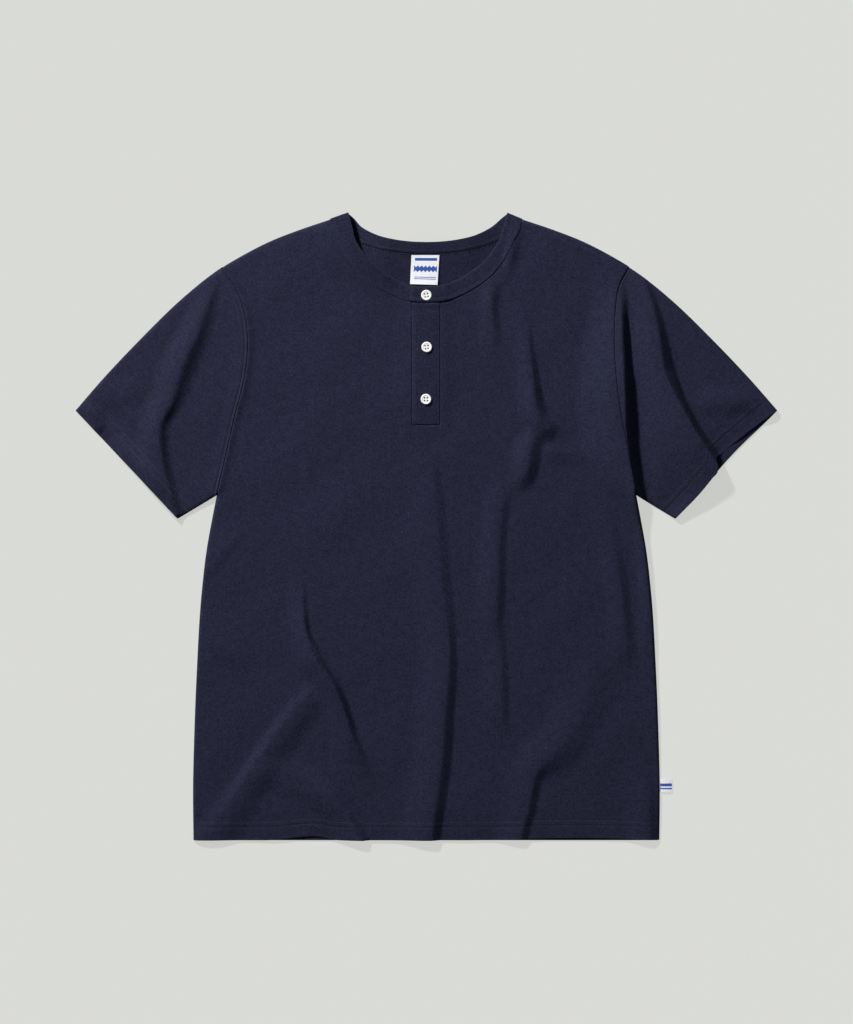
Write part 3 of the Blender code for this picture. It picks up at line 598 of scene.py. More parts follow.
# Folds, as soft ridges. Each point of a path is a Crest: lit is the width of the long slope, and
# shade that of the steep one, on the left of the way the path runs. Crest and foot of a Ridge are
# the shares of its steep slope that round into the top and into the cloth below.
Crest = namedtuple("Crest", "x y height lit shade")
Ridge = namedtuple("Ridge", "crest foot path")
RIDGES = (
    # down the middle
    Ridge(0.4, 0.12, (
        (3, 79, 0.8, 34, 10), (8, 29, 2.2, 36, 12), (13, -37, 3.0, 38, 13), (17.5, -88, 3.6, 40, 14),
        (23, -130, 4.6, 38, 11), (22.5, -160, 5.0, 36, 12), (20.5, -185, 5.2, 36, 12.5),
        (18.5, -209, 5.6, 36, 13), (16, -246, 6.0, 36, 13.5), (10.5, -290, 6.3, 38, 14),
        (6.5, -317, 6.5, 40, 13.5), (3.5, -345, 6.5, 42, 13),
    )),
    # left of the middle, down to the right
    Ridge(0.2, 0.5, (
        (-137, -64, 0.6, 22, 7), (-135, -97, 3.4, 22, 7), (-131.5, -120, 6.8, 22, 7.5),
        (-122, -141, 10.4, 24, 7.5), (-110.5, -160, 11.0, 24, 7.8), (-100.5, -177, 10.2, 25, 8.4),
        (-94, -192, 9.0, 26, 9.2), (-87.5, -212, 7.6, 26, 9.5), (-81.5, -232, 6.2, 26, 9.5),
        (-74, -248, 4.0, 26, 9.5), (-68.6, -262, 2.0, 24, 10), (-65, -277, 0.3, 24, 10),
    )),
    Ridge(0.3, 0.4, (
        (-121, -274, 0.6, 24, 12), (-108, -291, 2.6, 24, 12), (-95, -308, 4.4, 24, 12),
        (-83, -325, 5.8, 28, 12), (-72, -345, 6.4, 32, 12),
    )),
    # to the left of the hem
    Ridge(0.5, 0.5, (
        (-122, -176, 0.4, 12, 20), (-129, -184, 2.6, 12, 28), (-150, -208.5, 3.8, 12, 34),
        (-180, -250, 3.9, 12, 36), (-209, -294, 3.4, 13, 36), (-222, -314, 2.8, 18, 38),
        (-234, -330, 2.8, 20, 40), (-243, -345, 3.4, 22, 44),
    )),
    Ridge(0.5, 0.5, (
        (-163, -200, -0.2, 30, 14), (-192, -242, -0.8, 34, 15), (-222, -286, -0.8, 34, 16),
        (-238, -318, -0.2, 24, 16),
    )),
    Ridge(0.5, 0.5, (
        (-98, -318, 0.2, 22, 22), (-112, -298, 1.8, 24, 26), (-136, -281, 2.6, 26, 30),
        (-164, -272, 2.2, 26, 30), (-192, -276, 0.2, 24, 26),
    )),
    # right of the middle
    Ridge(0.5, 0.3, (
        (83, 46, 0.6, 22, 14), (81, 29, 2.2, 24, 14), (78, 7, 3.0, 24, 14), (76.6, -20, 3.5, 26, 13.5),
        (76, -53, 3.8, 26, 13.5), (75.5, -81, 3.8, 26, 13.5), (74.4, -103, 3.2, 26, 13),
        (76.6, -125, 2.3, 24, 12), (79, -149, 2.6, 24, 12.5), (80, -180, 2.9, 24, 13),
        (81, -207, 2.0, 24, 12), (82, -229, 0.3, 24, 12),
    )),
    # chest
    Ridge(0.25, 0.4, (
        (109.6, 226, 0.4, 22, 6), (112, 200, 2.8, 22, 7.5), (114.5, 178, 4.5, 22, 9.5),
        (116.5, 156, 6.0, 22, 11.5), (119, 134, 7.3, 22, 13.5), (124, 117, 7.4, 20, 16.5),
        (133, 106, 5.6, 16, 19), (143, 99, 0.8, 16, 20),
    )),
    Ridge(0.22, 0.14, (
        (127, 100, 0.8, 18, 9), (118, 95, 3.6, 20, 12), (113.5, 86, 5.6, 22, 14),
        (112, 75, 6.4, 24, 14.5), (110, 62, 6.2, 24, 14.5), (105, 52, 4.4, 24, 14),
        (97, 45, 1.2, 22, 12), (91, 41, 0.2, 20, 9),
    )),
    Ridge(0.5, 0.5, ((189, 76, 0.2, 16, 18), (165, 80, 1.7, 16, 18), (140, 83, 1.9, 14, 18))),
    # to the right of the hem
    Ridge(0.3, 0.25, (
        (186.6, -136, 0.3, 34, 24), (176, -178, 1.8, 36, 34), (160, -214, 3.4, 36, 36),
        (144, -240, 4.4, 36, 34), (130, -256, 4.8, 36, 24), (119.5, -270, 4.8, 34, 14),
        (114.5, -290, 4.5, 34, 11.5), (111, -310, 4.3, 34, 11), (106.5, -325, 4.1, 34, 11),
        (102, -345, 4.0, 34, 11),
    )),
    # right side
    Ridge(0.35, 0.3, (
        (198.6, 7, 0.3, 22, 10), (205, -26, 2.0, 22, 12), (209, -53, 3.0, 22, 13),
        (213, -81, 3.6, 22, 13), (216, -108, 3.0, 22, 13), (219, -134, 1.6, 22, 12),
        (220, -158, 0.3, 22, 12),
    )),
    Ridge(0.5, 0.5, (
        (226, 58, 0.3, 12, 24), (229, 32, 3.4, 12, 24), (236, -4, 5.4, 12, 24),
        (240.5, -37, 4.4, 13, 24), (244, -81, 3.2, 14, 24), (247, -125, 2.2, 16, 24),
        (249, -169, 1.2, 18, 24), (251.5, -213, 0.3, 18, 24),
    )),
    Ridge(0.5, 0.5, ((237, -262, 0.2, 26, 16), (240, -300, 2.0, 26, 16), (242, -345, 4.4, 26, 16))),
    # under the neckband
    Ridge(0.3, 0.4, (
        (98.6, 332, 1.0, 10, 11), (95.3, 315, 2.3, 10, 12), (92.5, 299, 2.6, 10, 12),
        (90, 284, 1.6, 10, 12), (86.5, 271, 0.2, 10, 11),
    )),
    Ridge(0.3, 0.4, (
        (80, 271, 0.4, 16, 10), (72.2, 259, 2.4, 16, 12), (71, 244, 3.4, 16, 12),
        (71.7, 225, 3.0, 16, 12), (73.3, 205, 1.6, 16, 11), (74.4, 192, 0.2, 16, 10),
    )),
    # the left of the neck stands up
    Ridge(0.5, 0.5, (
        (-90, 350, 5.4, 60, 12), (-85, 331, 6.0, 60, 12), (-80, 315, 6.0, 56, 12),
        (-70, 300, 5.6, 50, 12), (-59, 288, 4.4, 44, 12), (-44, 277, 2.6, 36, 12),
        (-30, 270, 1.0, 30, 12), (-18, 266, 0.2, 30, 12),
    )),
    # left side
    Ridge(0.4, 0.4, ((-136, 84, 0.2, 16, 8), (-130, 64, 1.4, 16, 9), (-126, 45, 0.2, 16, 8))),
    Ridge(0.5, 0.5, ((-196, 3, 0.2, 26, 13), (-218, -20, 1.4, 26, 13), (-240, -48, 0.8, 26, 13))),
    Ridge(0.5, 0.5, ((-186, -147, 0.2, 30, 16), (-218, -141, 1.3, 30, 16), (-242, -114, 0.8, 30, 16))),
    # along the right armhole, and the hollow beside it
    Ridge(0.55, 0.2, (
        (208.5, 272, 0.8, 30, 12), (210.2, 250, 4.4, 34, 12), (211.6, 227, 9.2, 38, 11.2),
        (212.6, 205, 12.6, 44, 10.8), (214, 172, 15.1, 50, 10.6), (214.8, 150, 16.0, 54, 10.6),
        (215.6, 128, 16.4, 56, 10.6), (216.4, 106, 16.2, 56, 10.6), (218.8, 84, 15.6, 54, 10.4),
        (222.2, 62, 14.9, 46, 10.8), (225, 46, 14.0, 36, 11), (227.6, 32, 11.4, 28, 11),
        (229.2, 16, 6.4, 22, 11), (230.2, 0, 2.2, 18, 12), (230.6, -14, 0.3, 16, 12),
    )),
    Ridge(0.5, 0.5, (
        (228, 250, -0.3, 8, 14), (231, 205, -0.9, 9, 18), (234, 161, -1.1, 10, 20),
        (237, 117, -1.1, 10, 20), (240, 73, -1.0, 10, 18), (242, 40, -0.8, 9, 14),
    )),
    # right sleeve to its cuff, the hollow beside it, and the raised tip
    Ridge(0.22, 0.07, (
        (236, 279, 0.8, 20, 5.5), (241.6, 260, 3.8, 24, 6.5), (248, 240, 6.0, 30, 8),
        (253, 216, 7.8, 38, 10.5), (256, 194, 9.2, 46, 13), (258.5, 174, 10.8, 52, 14.5),
        (263, 160, 12.2, 56, 14.5), (269, 148, 13.6, 60, 12.8), (276, 135, 14.8, 64, 10.8),
        (282.8, 123, 15.6, 68, 9.8), (293, 105, 16.0, 72, 9.8), (303.2, 89, 15.8, 76, 10.2),
        (312.8, 74.5, 15.4, 78, 10.4), (323.6, 59, 14.6, 80, 10.4),
    )),
    Ridge(0.5, 0.5, (
        (272, 205, -0.4, 12, 24), (281, 170, -1.2, 12, 26), (293, 143.5, -1.7, 12, 28),
        (307, 119, -1.7, 12, 28), (320.5, 97, -1.7, 12, 28), (335, 73, -1.5, 12, 28),
    )),
    Ridge(0.5, 0.5, (
        (348, 158, 0.2, 16, 14), (361, 144, 1.2, 18, 14), (373, 131, 2.4, 20, 14),
        (380, 123, 3.2, 20, 14),
    )),
    Ridge(0.5, 0.5, (
        (378, 118, 0.6, 16, 16), (352, 95, 1.2, 16, 16), (333, 74, 1.4, 16, 16),
        (324, 62, 0.4, 16, 16),
    )),
    Ridge(0.5, 0.5, (
        (372, 139, 0.2, 16, 18), (344, 139, 1.8, 18, 22), (316, 139, 2.4, 20, 24),
        (294, 136, 0.6, 18, 20),
    )),
    Ridge(0.5, 0.5, ((308, 44, 0.2, 16, 16), (290, 24, 2.4, 16, 16), (276, 9, 3.8, 16, 16))),
    # left sleeve
    Ridge(0.3, 0.75, (
        (-232, 266, 1.0, 18, 10), (-241, 246, 3.6, 20, 16), (-248, 226, 5.6, 22, 20),
        (-258, 202, 7.2, 24, 23), (-265, 187, 7.8, 26, 24), (-272, 168, 7.8, 28, 23),
        (-281, 138.5, 6.8, 28, 19), (-292.5, 115, 6.2, 28, 16), (-294, 95, 6.6, 32, 15),
        (-292, 76, 7.2, 38, 14.5), (-288, 57, 7.0, 42, 14), (-281, 32.5, 5.8, 44, 13),
        (-276, 14, 4.4, 44, 12),
    )),
    Ridge(0.5, 0.5, ((-377, 136, 0.3, 14, 12), (-370, 126, 2.6, 14, 12), (-362, 110, 2.4, 14, 12))),
    Ridge(0.5, 0.5, (
        (-346, 135, -0.2, 18, 26), (-348, 119, -1.3, 20, 30), (-350, 104, -1.8, 20, 32),
        (-353, 94, -1.8, 20, 32),
    )),
    Ridge(0.5, 0.5, (
        (-352, 100, 0.0, 12, 22), (-337, 84, 1.7, 12, 24), (-317, 63, 3.2, 12, 24),
        (-298.5, 42, 2.6, 12, 22), (-287.5, 30, 1.0, 12, 20), (-278, 17, 0.0, 12, 20),
    )),
    Ridge(0.5, 0.5, ((-304, 145, 0.3, 20, 22), (-326, 148, 1.3, 20, 22), (-350, 146, 1.0, 20, 22))),
    # beside the placket, where the facing ends inside
    Ridge(0.5, 0.5, ((21.6, 232, 0.3, 3, 4), (21.6, 180, 0.32, 3, 4), (21.6, 120, 0.2, 3, 4))),
)
LINE_STEPS = 14  # from each point of a path to the next
SLOPE_STEPS = 65
RIPPLE_COUNT = 44
RIPPLE_LENGTHS = (22.0, 125.0)
RIPPLE_TURN = 1.2  # how far each wave's heading may be from the X axis
RIPPLE_SLOPE = 0.0052  # steepness of each of the cloth's slight waves
RIPPLE_LIFT = 0.9

# Where the front's columns crowd, at long, high folds and at the placket's edges, and its rows
LONG_FOLD = 60.0
HIGH_FOLD = 1.5
FOLD_CROWD = 2.2
FOLD_CROWD_REACH = 30.0  # past the fold's ends
PLACKET_CROWD = 3.5
PLACKET_CROWD_OUT = 0.8  # outside the placket's edges
PLACKET_CROWD_Y = (100.0, 140.0)
ROW_CROWD = 2.5
ROW_CROWD_REACH = 7.0
FRONT_COLUMNS = Columns(52, 64, 16)
FRONT_BODY_ROWS = 86
FRONT_CHEST_ROWS = 58


def ridge_line(ridge):
    """A path's points, joined smoothly and set close together."""
    path = [Crest(*point) for point in ridge.path]
    steps = np.arange(len(path))
    at = np.linspace(0.0, len(path) - 1.0, LINE_STEPS * (len(path) - 1) + 1)
    values = [smooth_value(at, steps, column(path, name)) for name in Crest._fields]
    return np.stack(values, axis=-1)


def steep_slope(ridge):
    """Height left at shares of the way down a ridge's steep slope."""
    share = np.linspace(0.0, 1.0, SLOPE_STEPS)
    steepness = smooth_step(share / ridge.crest) * smooth_step((1.0 - share) / ridge.foot)
    fallen = np.concatenate([[0.0], np.cumsum(steepness[1:] + steepness[:-1])])
    return share, 1.0 - fallen / fallen[-1]


RIDGE_LINES = [(ridge_line(ridge), steep_slope(ridge)) for ridge in RIDGES]


def ridge_height(line, slope, x, y):
    """What a ridge adds at each place, from the nearest point of its line."""
    height = np.zeros(x.shape)
    reach = line[:, 3:].max()
    near = (
        (x > line[:, 0].min() - reach)
        & (x < line[:, 0].max() + reach)
        & (y > line[:, 1].min() - reach)
        & (y < line[:, 1].max() + reach)
    )
    if not near.any():
        return height
    place = np.stack([x[near], y[near]], axis=-1)
    away = ((place[:, None, :] - line[None, :, :2]) ** 2).sum(axis=-1)
    k = away.argmin(axis=1)
    way = np.gradient(line, axis=0)
    way = way / np.linalg.norm(way[:, :2], axis=1, keepdims=True)
    gone = place - line[k, :2]
    along = gone[:, 0] * way[k, 0] + gone[:, 1] * way[k, 1]
    side = way[k, 0] * gone[:, 1] - way[k, 1] * gone[:, 0]
    past = ((k == 0) & (along < 0.0)) | ((k == len(line) - 1) & (along > 0.0))
    along = np.where(past, 0.0, along)[:, None]
    rise, lit, shade = (line[k, 2:] + along * way[k, 2:]).T
    distance = np.where(past, np.sqrt(away.min(axis=1)), np.abs(side))
    up = 0.5 * (1.0 + np.cos(np.pi * np.minimum(distance / lit, 1.0)))
    down = np.interp(distance / shade, *slope)
    height[near] = rise * np.where(side > 0.0, down, up)
    return height


def ripples():
    """Headings, wavelengths, phases and heights of the cloth's slight waves."""
    random = np.random.default_rng(11)
    length = random.uniform(*RIPPLE_LENGTHS, RIPPLE_COUNT)
    heading = random.uniform(-RIPPLE_TURN, RIPPLE_TURN, RIPPLE_COUNT)
    phase = random.uniform(0.0, 2.0 * np.pi, RIPPLE_COUNT)
    return list(zip(length, heading, phase, RIPPLE_SLOPE * length / (2.0 * np.pi)))


RIPPLES = ripples()


def ripple(x, y):
    total = np.full(x.shape, RIPPLE_LIFT)
    for length, heading, phase, size in RIPPLES:
        run = x * math.cos(heading) + y * math.sin(heading)
        total = total + size * np.sin(run * 2.0 * np.pi / length + phase)
    return np.maximum(total, 0.0)


def placket_swell(x, y):
    """The cloth's rise over the thick placket."""
    beside = np.clip((np.abs(x - PLACKET_X) - SWELL_HALF) / SWELL_REACH, 0.0, 1.0)
    below = np.clip((SWELL_BOTTOM - y) / SWELL_REACH, 0.0, 1.0)
    step = rising(x - PLACKET_X, *STEP_LEFT) * falling(x, *STEP_RIGHT) * rising(y, *STEP_UP)
    return PLACKET_SWELL * falling(np.hypot(beside, below), 0.0, 1.0) + PLACKET_STEP * step


def placket_dip(x, y):
    """How far the front lies below the level of the placket strip, under it and at its edges."""
    beside = np.maximum(np.abs(x - PLACKET_X) - PLACKET_WIDTH / 2.0, 0.0)
    beside = beside * np.where(x < PLACKET_X, SINK_LEFT, 1.0)
    below = np.maximum(PLACKET_BOTTOM - y, 0.0)
    return PLACKET_SINK * falling(np.hypot(beside, below), *SINK_REACH)


def top_height(x, y):
    """Height of the shirt's upper outer face, without the turn at its edges."""
    x, y = np.broadcast_arrays(np.asarray(x, float), np.asarray(y, float))
    height = LAID_TOP + ripple(x, y) + placket_swell(x, y)
    for line, slope in RIDGE_LINES:
        height = height + ridge_height(line, slope, x, y)
    return np.maximum(height, LOWEST_TOP)


def hem_lift(x):
    total = 0.0
    for lift in HEM_LIFTS:
        reach = np.where(x < lift.x, lift.left, lift.right)
        total = total + lift.rise * falling(np.abs(x - lift.x), 0.0, reach)
    return total


def hem_relief(away):
    """What a hem adds to the cloth's height at a distance from its edge."""
    doubled = HEM_DOUBLE * falling(away, HEM_STITCHES[1], HEM_STITCHES[1] + 2.5)
    troughs = sum(GROOVE * bell(away - row, GROOVE_REACH) for row in HEM_STITCHES)
    return doubled - troughs - HEM_PRESS * falling(away, 0.0, HEM_PRESS_REACH)


def hem_worn(away):
    """How rubbed the cloth is at a distance from a hem's edge, and between its stitch rows."""
    return 0.7 * np.exp(-away / WORN_REACH) + 0.25 * bell(away - HEM_RUBBED, 5.0)


def seam_drop(away):
    """How far the cloth dips at a distance from a seam."""
    return SEAM_DROP * np.clip(1.0 - away / SEAM_DROP_REACH, 0.0, 1.0) ** 2


def armhole_swell(x, away):
    """What the left sleeve's seam allowance adds to the body beside the armhole."""
    return np.where(x < 0.0, ARMHOLE_SWELL * falling(away, 0.0, ARMHOLE_SWELL_REACH), 0.0)


def crowd_at_folds(x, y):
    """Where the front's columns stand closer together: on the steep slopes of long folds."""
    total = np.zeros(np.broadcast(x, y).shape)
    for line, _ in RIDGE_LINES:
        crest = Crest(*line[line[:, 1].argsort()].T)
        low, high = crest.y[0], crest.y[-1]
        if high - low < LONG_FOLD or crest.height.max() < HIGH_FOLD:
            continue
        shade = np.interp(y, crest.y, crest.shade)
        middle = np.interp(y, crest.y, crest.x) + shade / 2.0
        inside = rising(y, low - FOLD_CROWD_REACH, low) * falling(y, high, high + FOLD_CROWD_REACH)
        total = total + FOLD_CROWD * inside * bell(x - middle, 0.6 * shade)
    beside = np.abs(x - PLACKET_X) - PLACKET_WIDTH / 2.0 - PLACKET_CROWD_OUT
    return total + PLACKET_CROWD * bell(beside, 3.0) * rising(y, *PLACKET_CROWD_Y)


def band_points(table, shares):
    """The band's seam points and edge points at shares of the way along a table."""
    at = np.asarray(shares, float) * (len(table) - 1)
    steps = np.arange(len(table))
    sx, sy, ex, ey = (smooth_value(at, steps, column(table, name)) for name in Band._fields)
    return np.stack([sx, sy], axis=-1), np.stack([ex, ey], axis=-1)


SEAM_SHARES = np.linspace(0.0, 1.0, 400)
SEAM_POINTS = band_points(BAND_FRONT, SEAM_SHARES)[0]


def neckline_y(x):
    """The front's neckline, a seam's gap outside the band."""
    seam = np.interp(np.abs(x), SEAM_POINTS[:, 0], SEAM_POINTS[:, 1])
    beyond = np.interp(np.abs(x) + 1.0, SEAM_POINTS[:, 0], SEAM_POINTS[:, 1])
    return seam - SEAM_GAP * np.hypot(1.0, beyond - seam)


# Sewing thread


def new_tree(name, inputs):
    tree = bpy.data.node_groups.new(name, "GeometryNodeTree")
    add_sockets(tree, [("Geometry", "NodeSocketGeometry", None), *inputs])
    tree.interface.new_socket("Geometry", in_out="OUTPUT", socket_type="NodeSocketGeometry")
    given = tree.nodes.new("NodeGroupInput").outputs
    return tree, given, tree.nodes.new("NodeGroupOutput")


def path_of(tree, given):
    """The lines of points as a curve."""
    return add_node(tree, "GeometryNodeMeshToCurve", {"Mesh": given["Geometry"]}).outputs["Curve"]


def finish_tree(tree, geometry, given, made):
    """Makes the thread real and smooth, gives it its material, and ends the tree."""
    real = add_node(tree, "GeometryNodeRealizeInstances", {"Geometry": geometry})
    smooth = add_node(tree, "GeometryNodeSetShadeSmooth", {"Geometry": real.outputs["Geometry"]})
    inputs = {"Geometry": smooth.outputs["Geometry"], "Material": given["Thread"]}
    coloured = add_node(tree, "GeometryNodeSetMaterial", inputs)
    set_inputs(tree, made, {"Geometry": coloured.outputs["Geometry"]})
    return tree


def vector_maths(tree, operation, inputs):
    return add_node(tree, "ShaderNodeVectorMath", inputs, operation=operation).outputs


def running_stitch_tree():
    """Short beads of thread laid end to end, with a gap where the thread dives."""
    tree, given, made = new_tree(
        "running_stitch",
        [
            ("Stitch Length", "NodeSocketFloat", 0.0024),
            ("Spacing", "NodeSocketFloat", 0.0031),
            ("Thread Radius", "NodeSocketFloat", 0.00026),
            ("Thread", "NodeSocketMaterial", None),
        ],
    )
    places = add_node(
        tree,
        "GeometryNodeCurveToPoints",
        {"Curve": path_of(tree, given), "Length": given["Spacing"]},
        mode="LENGTH",
    ).outputs
    bead = add_node(tree, "GeometryNodeMeshUVSphere", {"Segments": 6, "Rings": 5, "Radius": 1.0})
    size = add_node(
        tree,
        "ShaderNodeCombineXYZ",
        {
            "X": given["Thread Radius"],
            "Y": given["Thread Radius"],
            "Z": maths(tree, "MULTIPLY", given["Stitch Length"], 0.5),
        },
    )
    stitches = add_node(
        tree,
        "GeometryNodeInstanceOnPoints",
        {
            "Points": places["Points"],
            "Instance": bead.outputs["Mesh"],
            "Rotation": places["Rotation"],
            "Scale": size.outputs[0],
        },
    )
    return finish_tree(tree, stitches.outputs["Instances"], given, made)


def zigzag_stitch_tree():
    """One thread that crosses from side to side of a line, as a looper thread does."""
    tree, given, made = new_tree(
        "zigzag_stitch",
        [
            ("Spacing", "NodeSocketFloat", 0.0014),
            ("Width", "NodeSocketFloat", 0.004),
            ("Thread Radius", "NodeSocketFloat", 0.0002),
            ("Thread", "NodeSocketMaterial", None),
        ],
    )
    line = add_node(
        tree,
        "GeometryNodeResampleCurve",
        {"Curve": path_of(tree, given), "Length": given["Spacing"]},
        mode="LENGTH",
    )
    along = add_node(tree, "GeometryNodeInputTangent").outputs["Tangent"]
    across = vector_maths(tree, "CROSS_PRODUCT", {0: along, 1: (0.0, 0.0, 1.0)})["Vector"]
    odd = maths(tree, "MODULO", add_node(tree, "GeometryNodeInputIndex").outputs["Index"], 2.0)
    reach = maths(tree, "MULTIPLY", maths(tree, "SUBTRACT", odd, 0.5), given["Width"])
    offset = vector_maths(tree, "SCALE", {0: across, "Scale": reach})["Vector"]
    moved = add_node(
        tree,
        "GeometryNodeSetPosition",
        {"Geometry": line.outputs["Curve"], "Offset": offset},
    )
    section = add_node(
        tree,
        "GeometryNodeCurvePrimitiveCircle",
        {"Resolution": 5, "Radius": given["Thread Radius"]},
    )
    thread = add_node(
        tree,
        "GeometryNodeCurveToMesh",
        {
            "Curve": moved.outputs["Geometry"],
            "Profile Curve": section.outputs["Curve"],
            "Fill Caps": True,
        },
    )
    return finish_tree(tree, thread.outputs["Mesh"], given, made)


RUNNING_STITCH = running_stitch_tree()
ZIGZAG_STITCH = zigzag_stitch_tree()

# A kind of stitch: the tree that makes it, and its sizes
Stitch = namedtuple("Stitch", "tree sizes")


def running_stitch(length, spacing, thread_radius):
    """A stitch's length, the distance from one to the next, and the thread's radius."""
    sizes = {"Stitch Length": length, "Spacing": spacing, "Thread Radius": thread_radius}
    return Stitch(RUNNING_STITCH, sizes)


def zigzag_stitch(spacing, width, thread_radius):
    """The distance from one crossing to the next, the width, and the thread's radius."""
    sizes = {"Spacing": spacing, "Width": width, "Thread Radius": thread_radius}
    return Stitch(ZIGZAG_STITCH, sizes)


TWIN_NEEDLE = running_stitch(2.5, 3.1, 0.24)
TWIST_SCALE = 2400.0  # unevenness of the twisted thread, per metre
THREAD_DARK = 0.75  # the darkest and the palest of the thread, as shares of its colour
THREAD_PALE = 1.25


def thread_material(name, colour, roughness):
    """Spun sewing thread, its twist seen as a fine unevenness."""
    made, tree, shader = new_material(name)
    place = add_node(tree, "ShaderNodeTexCoord").outputs["Object"]
    twist = speckle(tree, place, TWIST_SCALE, 2.0)
    low, high = scaled(colour, THREAD_DARK), scaled(colour, THREAD_PALE)
    inputs = {
        "Base Color": blended(tree, twist, low, high),
        "Roughness": roughness,
        "Sheen Weight": 0.1,
    }
    set_inputs(tree, shader, inputs)
    return made


NAVY_THREAD = thread_material("navy_thread", (0.0215, 0.0224, 0.0450), 0.8)


def sewn(name, lines, stitch, thread):
    """Stitches along lines of points, in millimetres, made into one mesh."""
    starts = np.cumsum([0] + [len(line) for line in lines])
    edges = [(k, k + 1) for a, b in zip(starts, starts[1:]) for k in range(a, b - 1)]
    data = bpy.data.meshes.new(name)
    data.from_pydata((np.concatenate(lines) * MM).tolist(), edges, [])
    obj = placed(name, data)
    stitched = obj.modifiers.new("stitches", "NODES")
    stitched.node_group = stitch.tree
    sockets = {item.name: item.identifier for item in stitch.tree.interface.items_tree}
    stitched[sockets["Thread"]] = thread
    for label, size in stitch.sizes.items():
        stitched[sockets[label]] = size * MM
    obj = made_mesh(obj)
    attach(obj, "root")
    return obj


def on_top(x, y, lift):
    """Points on the shirt's upper face."""
    x, y = np.broadcast_arrays(np.asarray(x, float), np.asarray(y, float))
    return np.stack([x, y, top_height(x, y) + lift], axis=-1)


front_rows = np.concatenate(
    [
        HEM_Y + HEM_ROUND + np.array(HEM_STOPS),
        np.linspace(HEM_Y + HEM_STOPS[-1] + 4.0, UNDERARM_Y, FRONT_BODY_ROWS),
        spaced(
            np.array([UNDERARM_Y]),
            np.array([SHOULDER_Y - EDGE_TURN]),
            FRONT_CHEST_ROWS,
            np.zeros(1),
            lambda row, _: ROW_CROWD * bell(row - PLACKET_ROW, ROW_CROWD_REACH),
        )[0][1:],
        SHOULDER_Y - EDGE_TURN * (1.0 - np.cos(TURN_ANGLES[1:])),
    ]
)


def hem_share(row_y):
    """Share of the hem's lift that is left at a row."""
    return (1.0 - (row_y - HEM_Y) / (SHOULDER_Y - HEM_Y)) ** 4


def slit_edge(side):
    return PLACKET_X + side * SLIT_WIDTH / 2.0


front_x = panel_x(front_rows, body_edge_x, slit_edge, FRONT_COLUMNS, crowd_at_folds)
columns_across = front_x.shape[1]
turn_columns = len(TURN_ANGLES) - 1
half_columns = FRONT_COLUMNS.neck + FRONT_COLUMNS.outer + turn_columns
from_side = np.minimum(np.arange(columns_across), np.arange(columns_across)[::-1])
on_shoulder = from_side <= FRONT_COLUMNS.outer + turn_columns
front_top = np.where(on_shoulder, shoulder_y(front_x[-1]), neckline_y(front_x[-1]))
front_y = panel_y(front_x, front_rows, front_top)
front_y = front_y + hem_share(front_rows)[:, None] * hem_lift(front_x)


def turned_level(inset):
    """Share of the full height at a distance in from a turned edge."""
    return np.sqrt(np.clip(1.0 - (1.0 - np.clip(inset / EDGE_TURN, 0.0, 1.0)) ** 2, 0.0, 1.0))


side_edge = np.where(
    np.arange(columns_across) < columns_across // 2,
    body_edge_x(front_rows, -1)[:, None],
    body_edge_x(front_rows, 1)[:, None],
)
side_inset = np.abs(side_edge - front_x)
top_inset = (SHOULDER_Y - front_rows)[:, None] * np.ones(front_x.shape)
turned = falling(front_rows, UNDERARM_Y, UNDERARM_Y + UNDERARM_CORNER)[:, None]
level = turned * turned_level(side_inset) + (1.0 - turned)
level = np.where(on_shoulder, np.minimum(level, turned_level(top_inset)), level)
hem_away = (front_rows - HEM_Y)[:, None] * np.ones(front_x.shape)
front_z = top_height(front_x, front_y) + hem_relief(hem_away)
front_z = front_z + (1.0 - turned) * (armhole_swell(front_x, side_inset) - seam_drop(side_inset))
front_z = front_z - placket_dip(front_x, front_y)
drop_share = NECK_SEAM_DROP * rising(front_x, -60.0, 30.0)
front_z = front_z - np.where(on_shoulder, 0.0, drop_share * seam_drop(top_inset))
front_z = EDGE_FOOT + (front_z - EDGE_FOOT) * level
front_points = np.stack([front_x, front_y, front_z], axis=-1)
side_worn = 0.5 * np.exp(-side_inset / WORN_REACH)
front_worn = hem_worn(hem_away) + side_worn + 0.4 * np.exp(-top_inset / WORN_REACH)
front_sheet = with_hem(front_points, front_points[..., :2], np.minimum(front_worn, 1.0))
cells_x = np.arange(columns_across - 1)
in_slit = (cells_x >= half_columns) & (cells_x < half_columns + FRONT_COLUMNS.slit)
cells_y = front_sheet[0][:-1, :-1, 1]
extra_rows = len(front_sheet[0]) - len(front_points)
above = (np.arange(len(cells_y)) > extra_rows)[:, None] & (cells_y > SLIT_BOTTOM)
front_keep = ~(above & in_slit)
front = sheet_object("front_panel", *front_sheet, NAVY_JERSEY, JERSEY, keep=front_keep)


def hem_row(away):
    x = np.linspace(-HEM_ROW_HALF, HEM_ROW_HALF, HEM_ROW_POINTS)
    y = HEM_Y + away
    return on_top(x, y + hem_share(y) * hem_lift(x), hem_relief(away) - ROW_SUNK)


hem_rows = [hem_row(away) for away in HEM_STITCHES]
front_stitches = sewn("front_hem_stitches", hem_rows, TWIN_NEEDLE, NAVY_THREAD)
stands_for(front, "front")


# ---------------------------------------------------------------------------- Sleeves
# Each sleeve is one piece of the same jersey, closed under the arm into a tube that lies flat.
# Its seam allowance lies on the sleeve's side of the armhole and is held by twin stitching, and
# its cuff is hemmed like the body.

